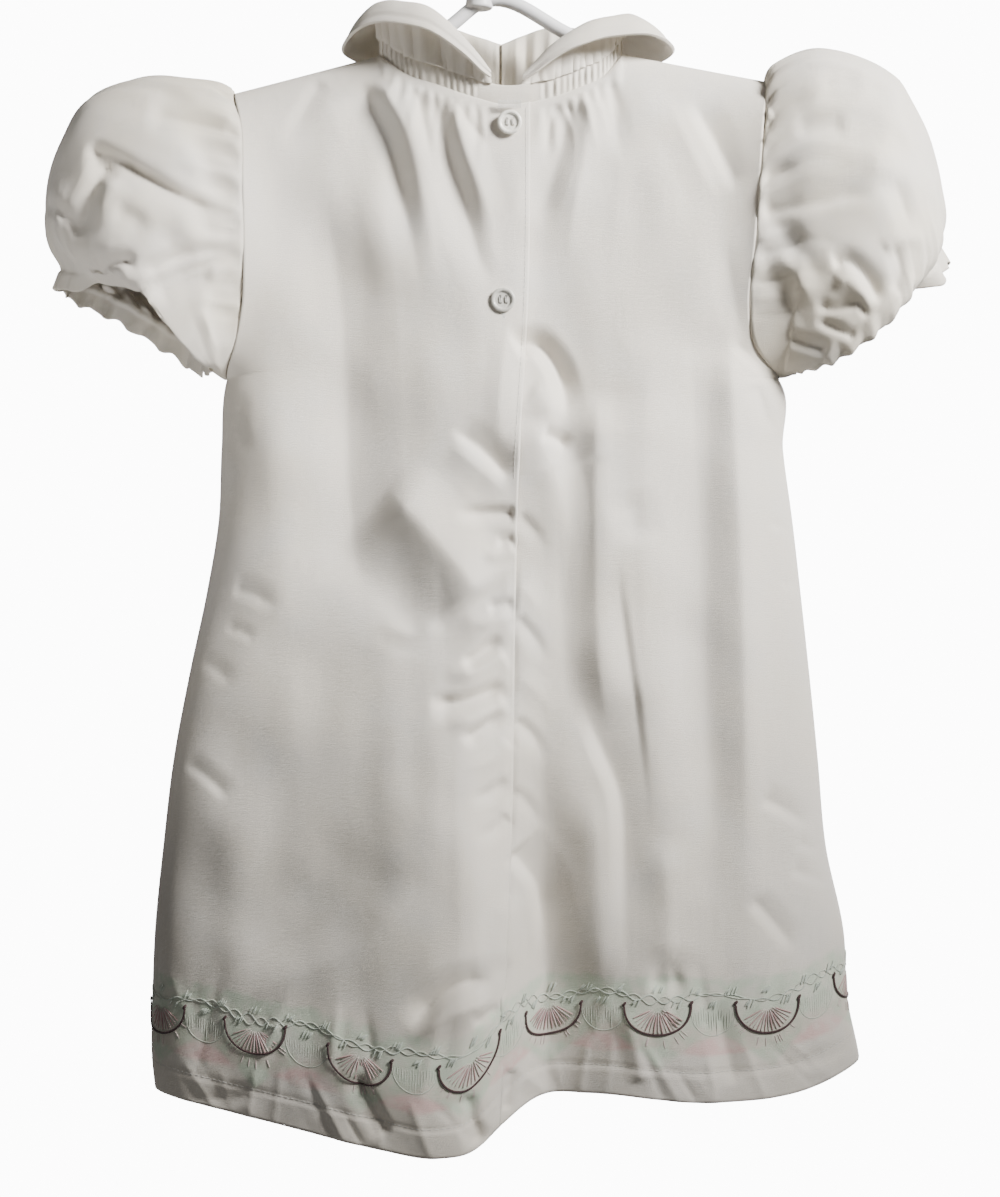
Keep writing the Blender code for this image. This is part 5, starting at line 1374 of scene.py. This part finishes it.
def on_cloth(s, h):
    """Points and normals of the cloth at the border's coordinates, all round the dress."""
    s, h = np.broadcast_arrays(np.asarray(s, float), np.asarray(h, float))
    point, up = np.zeros((*s.shape, 3)), np.zeros((*s.shape, 3))
    bounds = {"back_left": (s_left[0], 0), "back_right": (0, s_right[-1]), "front": (s_front[0], s_front[-1])}
    for node, (low, high) in bounds.items():
        points, ups, table, heights = PANELS[node]
        here = (s >= low) & (s <= high)
        c = np.interp(s[here], table, np.arange(len(table)))
        near = np.clip(np.rint(c).astype(int), 0, heights.shape[1] - 1)
        # rows are evenly spaced in height over the skirt
        r = (len(heights) - 1) - h[here] / (heights[-2, near] - heights[-1, near])
        point[here] = sample(points, r, c)
        up[here] = sample(ups, r, c)
    return point, up / np.maximum(np.linalg.norm(up, axis=-1, keepdims=True), 1e-9)


class Threads:
    """Strands of one colour, gathered before they are made into one mesh."""

    def __init__(self):
        self.starts, self.ends, self.ups, self.thick = [], [], [], []

    def strand(self, a, b, lift, thick):
        """One strand between two places (s, h) on the cloth."""
        (p, q), (up, other) = on_cloth(*np.transpose([a, b]))
        if up.any() and other.any():
            self.starts.append(p + up * lift)
            self.ends.append(q + other * lift)
            self.ups.append(up + other)
            self.thick.append(thick)

    def cord(self, path, thick, step, lift):
        """A twisted cord: short slanting strands along a path of (s, h) places."""
        path = np.array(path)
        reach = distances(path)
        for place in np.arange(0, reach[-1], step):
            ahead = min(place + CORD_OVERLAP * step, reach[-1])
            a, b = [np.array([np.interp(q, reach, path[:, k]) for k in (0, 1)]) for q in (place, ahead)]
            across = np.array([-(b - a)[1], (b - a)[0]])
            across = across / max(np.linalg.norm(across), 1e-6) * thick * CORD_SLANT
            self.strand(a - across, b + across, lift, thick)

    def make(self, name, material):
        strands(name, self.starts, self.ends, self.ups, self.thick, material)


maroon, rose, pale, leaf, mint = Threads(), Threads(), Threads(), Threads(), Threads()


def fan(middle, random):
    """A corded arc with a knot at each end, under rays of two pinks by turns."""
    tilt, sink = random.uniform(-0.09, 0.09), random.uniform(-1.2, 1.2)
    arc = []
    for a in np.linspace(-np.pi / 2, np.pi / 2, 30):
        height = ARC_TOP + sink + tilt * ARC_HALF * np.sin(a) - ARC_DEPTH * np.cos(a) ** 0.85
        arc.append((middle + ARC_HALF * np.sin(a), height))
    maroon.cord(arc, thick=0.82, step=0.75, lift=0.55)
    for s, h in (arc[0], arc[-1]):
        maroon.strand((s - 0.4, h), (s + 0.4, h + 1.0), lift=0.6, thick=1.5)
    for k, a in enumerate(np.linspace(-RAY_SPREAD, RAY_SPREAD, RAY_COUNT)):
        near = 2.6 if k % 2 else 4.2
        reach = ARC_DEPTH * (0.92 + 0.08 * np.cos(a)) - 0.9
        ray = (rose, pale)[k % 2]
        ray.strand((middle + near * np.sin(a), ARC_TOP - near * np.cos(a)),
                   (middle + reach * np.sin(a) * 1.1, ARC_TOP - reach * np.cos(a)),
                   lift=0.3, thick=random.uniform(0.5, 0.9))


def half_moon(middle, random):
    """Upright stitches of uneven length inside a thin corded rim."""
    for shift in np.arange(-MOON_HALF, MOON_HALF + 0.1, MOON_STITCH):
        full = MOON_DEPTH * np.sqrt(max(0, 1 - (shift / (MOON_HALF + 0.8)) ** 2))
        length = full * random.uniform(0.4, 1)
        top = ARC_TOP - 0.5 - random.uniform(0, 3)
        leaf.strand((middle + shift, top), (middle + shift * 0.96, top - length), lift=0, thick=0.4)
    rim = [(middle + (MOON_HALF + 1.0) * np.sin(a), ARC_TOP - MOON_RIM * np.cos(a) ** 0.8)
           for a in np.linspace(-1.45, 1.45, 24)]
    leaf.cord(rim, thick=0.42, step=0.9, lift=0.02)


def stray_stitches(middle, random):
    """Short pale stitches that stand out from below the arc."""
    for _ in range(9):
        a = random.uniform(-1.2, 1.2)
        pale.strand((middle + 14 * np.sin(a), ARC_TOP - 15 * np.cos(a)),
                    (middle + 17.5 * np.sin(a), ARC_TOP - 18.5 * np.cos(a)), lift=0.1, thick=0.5)


def leaves(middle, random):
    """Sprays of small leaves, below and above the cords by turns."""
    for k, shift in enumerate(np.arange(-PITCH / 2, PITCH / 2, LEAF_PITCH)):
        up = 1 if k % 2 else -1
        foot = CORD_HEIGHT + up * 2.2
        for across in random.uniform(-2.2, 2.2, 5):
            length = random.uniform(1.0, 2.8)
            mint.strand((middle + shift + across - up * 0.8, foot - length * up * 0.4),
                        (middle + shift + across + up * 0.8, foot + length * up), lift=0.45, thick=0.6)


random = np.random.default_rng(51)
first = int(np.ceil((s_left[0] - PHASE) / PITCH - 0.3))
last = int(np.floor((s_front[-1] - PHASE) / PITCH + 0.3))
for number in range(first, last + 1):
    middle = PHASE + number * PITCH
    fan(middle, random)
    half_moon(middle + PITCH / 2, random)
    stray_stitches(middle, random)
    leaves(middle, random)
s = np.arange(s_left[0] + 1, s_front[-1] - 1, 0.8)
swell = 1.6 * np.sin(2 * np.pi * s / PITCH + 0.8)
for threads, phase in ((mint, 0), (leaf, np.pi)):
    stray = 0.8 * np.sin(s / 5.3 + phase) * np.sin(s / 2.9)
    wave = (1.3 + 0.6 * np.sin(s / 11.0)) * np.sin(2 * np.pi * s / TWINE_PITCH + phase) + stray
    threads.cord(np.stack([s, CORD_HEIGHT + wave + swell], axis=-1), thick=0.48, step=0.95, lift=0.2)
maroon.make("border_arcs", thread_material("maroon_thread", MAROON, 0.5))
rose.make("border_rays_rose", thread_material("rose_thread", ROSE))
pale.make("border_rays_pale", thread_material("pale_pink_thread", PALE_PINK))
leaf.make("border_half_moons", thread_material("leaf_thread", LEAF))
mint.make("border_cords", thread_material("mint_thread", PALE_MINT))


# ---------------------------------------------------------------------------------------------
# Hanger: one piece of thin white plastic, two arms under the shoulders, a boss and a bent hook.
# ---------------------------------------------------------------------------------------------
ARM_RADIUS, ARM_LEFT, ARM_RIGHT = 3.2, -110.0, 117.0
SEAT_SLOPE = 1.12
BOSS_X, BOSS_TOP, BOSS_BOTTOM = -5.0, 49.0, 65.5
BOSS_RADIUS, BOSS_TIP_RADIUS, BOSS_EDGE = 6.5, 4.7, 1.5
HOOK_RADIUS, HOOK_INSIDE = 3.0, 17.0
HOOK_FROM, HOOK_TO = -52, 196  # degrees round the hook's middle
WALL = 1.2  # of the dress where the arms lie against it
ARM_RISE = 12.0  # the arms start to rise to the boss this far outside the neck points
ArmPoint = namedtuple("ArmPoint", "x drop")
ARM_MIDDLE = (ArmPoint(-18.0, 73.0), ArmPoint(BOSS_X, 62.8), ArmPoint(35.0, 76.4))
SHANK_STRAIGHT, SHANK_BEND, SHANK_SUNK = 3.0, 18.0, 6.0


def hanger_plastic():
    """Injection-moulded plastic: milky, with a faint flow pattern and fine scuffs."""
    graph = Graph("hanger_plastic", Specular_IOR_Level=0.5)
    place = graph.place()
    flow = graph.noise(graph.stretched(place, (1, 6, 6)), scale=24)
    scuff = graph.noise(place, scale=900, rough=0.7)
    colour = graph.mix(flow.step(0.35, 0.7), (0.80, 0.80, 0.82), (0.74, 0.745, 0.775))
    return graph.finish(colour, 0.28 + scuff * 0.18, flow * 0.5 + scuff, 0.00004)


def rod(path, radius):
    """A round rod with closed ends along a path, as a new object."""
    curve = bpy.data.curves.new("rod", "CURVE")
    curve.dimensions = "3D"
    curve.bevel_depth, curve.bevel_resolution, curve.use_fill_caps = radius * MM, 6, True
    spline = curve.splines.new("POLY")
    spline.points.add(len(path) - 1)
    for point, place in zip(spline.points, path):
        point.co = (*(np.asarray(place) * MM), 1)
    guide = in_scene("rod", curve)
    bpy.context.view_layer.update()
    mesh = bpy.data.meshes.new_from_object(guide.evaluated_get(bpy.context.evaluated_depsgraph_get()))
    bpy.data.objects.remove(guide)
    bm = bmesh.new()
    bm.from_mesh(mesh)
    bmesh.ops.remove_doubles(bm, verts=bm.verts, dist=1e-6)
    bmesh.ops.recalc_face_normals(bm, faces=bm.faces[:])
    bm.to_mesh(mesh)
    bm.free()
    return in_scene("rod", mesh)


def arm_drop(x):
    """Drop of the arms' middle line: under the shoulders, and up to the boss between them."""
    seat = (WALL + SEAM + ARM_RADIUS) * SEAT_SLOPE
    left, right = [NECK_LEFT - ARM_RISE, NECK_LEFT], [NECK_RIGHT, NECK_RIGHT + ARM_RISE]
    left_drops, right_drops = [list(top_drop(BACK, np.array(ends)) + seat) for ends in (left, right)]
    places = left + column(ARM_MIDDLE, "x") + right
    drops = left_drops + column(ARM_MIDDLE, "drop") + right_drops
    inner = (x > NECK_LEFT) & (x < NECK_RIGHT)
    return np.where(inner, through(x, places, drops), top_drop(BACK, x) + seat)


def hook_path():
    """The shank's gentle bend up from the boss, then the round of the hook."""
    radius, start = HOOK_INSIDE + HOOK_RADIUS, np.radians(HOOK_FROM)
    foot = np.array([BOSS_X, 0, SHANK_STRAIGHT - BOSS_TOP])
    joint = np.array([radius * np.cos(start), 0, -HOOK_INSIDE + radius * np.sin(start)])
    up, lean = np.array([0, 0, SHANK_BEND]), np.array([-np.sin(start), 0, np.cos(start)]) * SHANK_BEND
    path = [(BOSS_X, 0, -(BOSS_TOP + SHANK_SUNK))]
    for u in np.linspace(0, 1, 17)[:-1]:
        path.append(foot * (2 * u**3 - 3 * u**2 + 1) + up * (u**3 - 2 * u**2 + u)
                    + joint * (3 * u**2 - 2 * u**3) + lean * (u**3 - u**2))
    for angle in np.linspace(start, np.radians(HOOK_TO), 44):
        path.append((radius * np.cos(angle), 0, -HOOK_INSIDE + radius * np.sin(angle)))
    return path


arm_x = np.linspace(ARM_LEFT, ARM_RIGHT, 70)
hanger = rod(np.stack([arm_x, 0 * arm_x, -arm_drop(arm_x)], axis=-1), ARM_RADIUS)
hook = rod(hook_path(), HOOK_RADIUS)
bm = bmesh.new()
bmesh.ops.create_cone(bm, cap_ends=True, segments=40, radius1=BOSS_RADIUS * MM, radius2=BOSS_TIP_RADIUS * MM,
                      depth=(BOSS_BOTTOM - BOSS_TOP) * MM,
                      matrix=Matrix.Translation(Vector((BOSS_X, 0, -(BOSS_TOP + BOSS_BOTTOM) / 2)) * MM))
rims = [edge for edge in bm.edges if edge.calc_face_angle() > 1]
bmesh.ops.bevel(bm, geom=rims, offset=BOSS_EDGE * MM, segments=4, profile=0.5, affect="EDGES", material=-1)
boss_mesh = bpy.data.meshes.new("boss")
bm.to_mesh(boss_mesh)
bm.free()
boss = in_scene("boss", boss_mesh)
for other in (hook, boss):
    join = hanger.modifiers.new("join", "BOOLEAN")
    join.operation, join.object = "UNION", other
bpy.context.view_layer.update()
whole = bpy.data.meshes.new_from_object(hanger.evaluated_get(bpy.context.evaluated_depsgraph_get()))
for thing in (hook, boss, hanger):
    bpy.data.objects.remove(thing)
whole.shade_smooth()
whole.set_sharp_from_angle(angle=SHARP)
whole.materials.append(hanger_plastic())
hanger = in_scene("hanger_moulding", whole)
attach(hanger, "root")
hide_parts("hanger")


# ---------------------------------------------------------------------------------------------
# Studio: a pale round floor well below the dress and white surroundings that light it only faintly.
# The key lamp stands high on the right, a weak one low on the left and a wide one on the front's
# side.
# ---------------------------------------------------------------------------------------------
FLOOR_DROP, FLOOR_RADIUS = 1300.0, 900.0
SURROUND_LIGHT, SURROUND_SEEN = 0.135, 12.0  # strengths for lighting the dress and for the camera
bm = bmesh.new()
bmesh.ops.create_circle(bm, cap_ends=True, segments=96, radius=FLOOR_RADIUS * MM,
                        matrix=Matrix.Translation((0, 0, -FLOOR_DROP * MM)))
mesh = bpy.data.meshes.new("floor")
bm.to_mesh(mesh)
bm.free()
graph = Graph("floor_paint")
grain = graph.noise(graph.place(), scale=40)
paint = graph.mix(grain, (0.80, 0.80, 0.80), (0.76, 0.76, 0.76))
mesh.materials.append(graph.finish(paint, 0.7, grain, 0.0004))
floor = in_scene("floor", mesh)

world = bpy.data.worlds.new("studio")
world.use_nodes = True
bpy.context.scene.world = world
nodes, links = world.node_tree.nodes, world.node_tree.links
background = nodes["Background"]
background.inputs["Color"].default_value = (1.0, 0.985, 0.96, 1)
background.inputs["Strength"].default_value = SURROUND_LIGHT
white = nodes.new("ShaderNodeBackground")
white.inputs["Color"].default_value = (1, 1, 1, 1)
white.inputs["Strength"].default_value = SURROUND_SEEN
rays, mixer = nodes.new("ShaderNodeLightPath"), nodes.new("ShaderNodeMixShader")
links.new(rays.outputs["Is Camera Ray"], mixer.inputs[0])
links.new(background.outputs[0], mixer.inputs[1])
links.new(white.outputs[0], mixer.inputs[2])
links.new(mixer.outputs[0], nodes["World Output"].inputs[0])


def lamp(name, place, towards, spread, size, power, colour=(1.0, 0.98, 0.95)):
    """A square lamp. Its places and size are in metres, its spread in degrees and its power in watts."""
    light = bpy.data.lights.new(name, "AREA")
    light.size, light.energy, light.color, light.spread = size, power, colour, np.radians(spread)
    thing = in_scene(name, light)
    thing.location = place
    thing.rotation_euler = (Vector(towards) - Vector(place)).to_track_quat("-Z", "Y").to_euler()


lamp("key", (0.88, -0.64, 0.38), (0.03, 0, -0.17), spread=44, size=0.36, power=4.15,
     colour=(1.0, 0.98, 0.945))
lamp("bounce", (-0.42, -0.34, -0.62), (-0.18, 0, -0.21), spread=24, size=0.25, power=0.12)
lamp("far", (0.9, 1.6, 0.2), AIM * MM, spread=180, size=0.9, power=32)
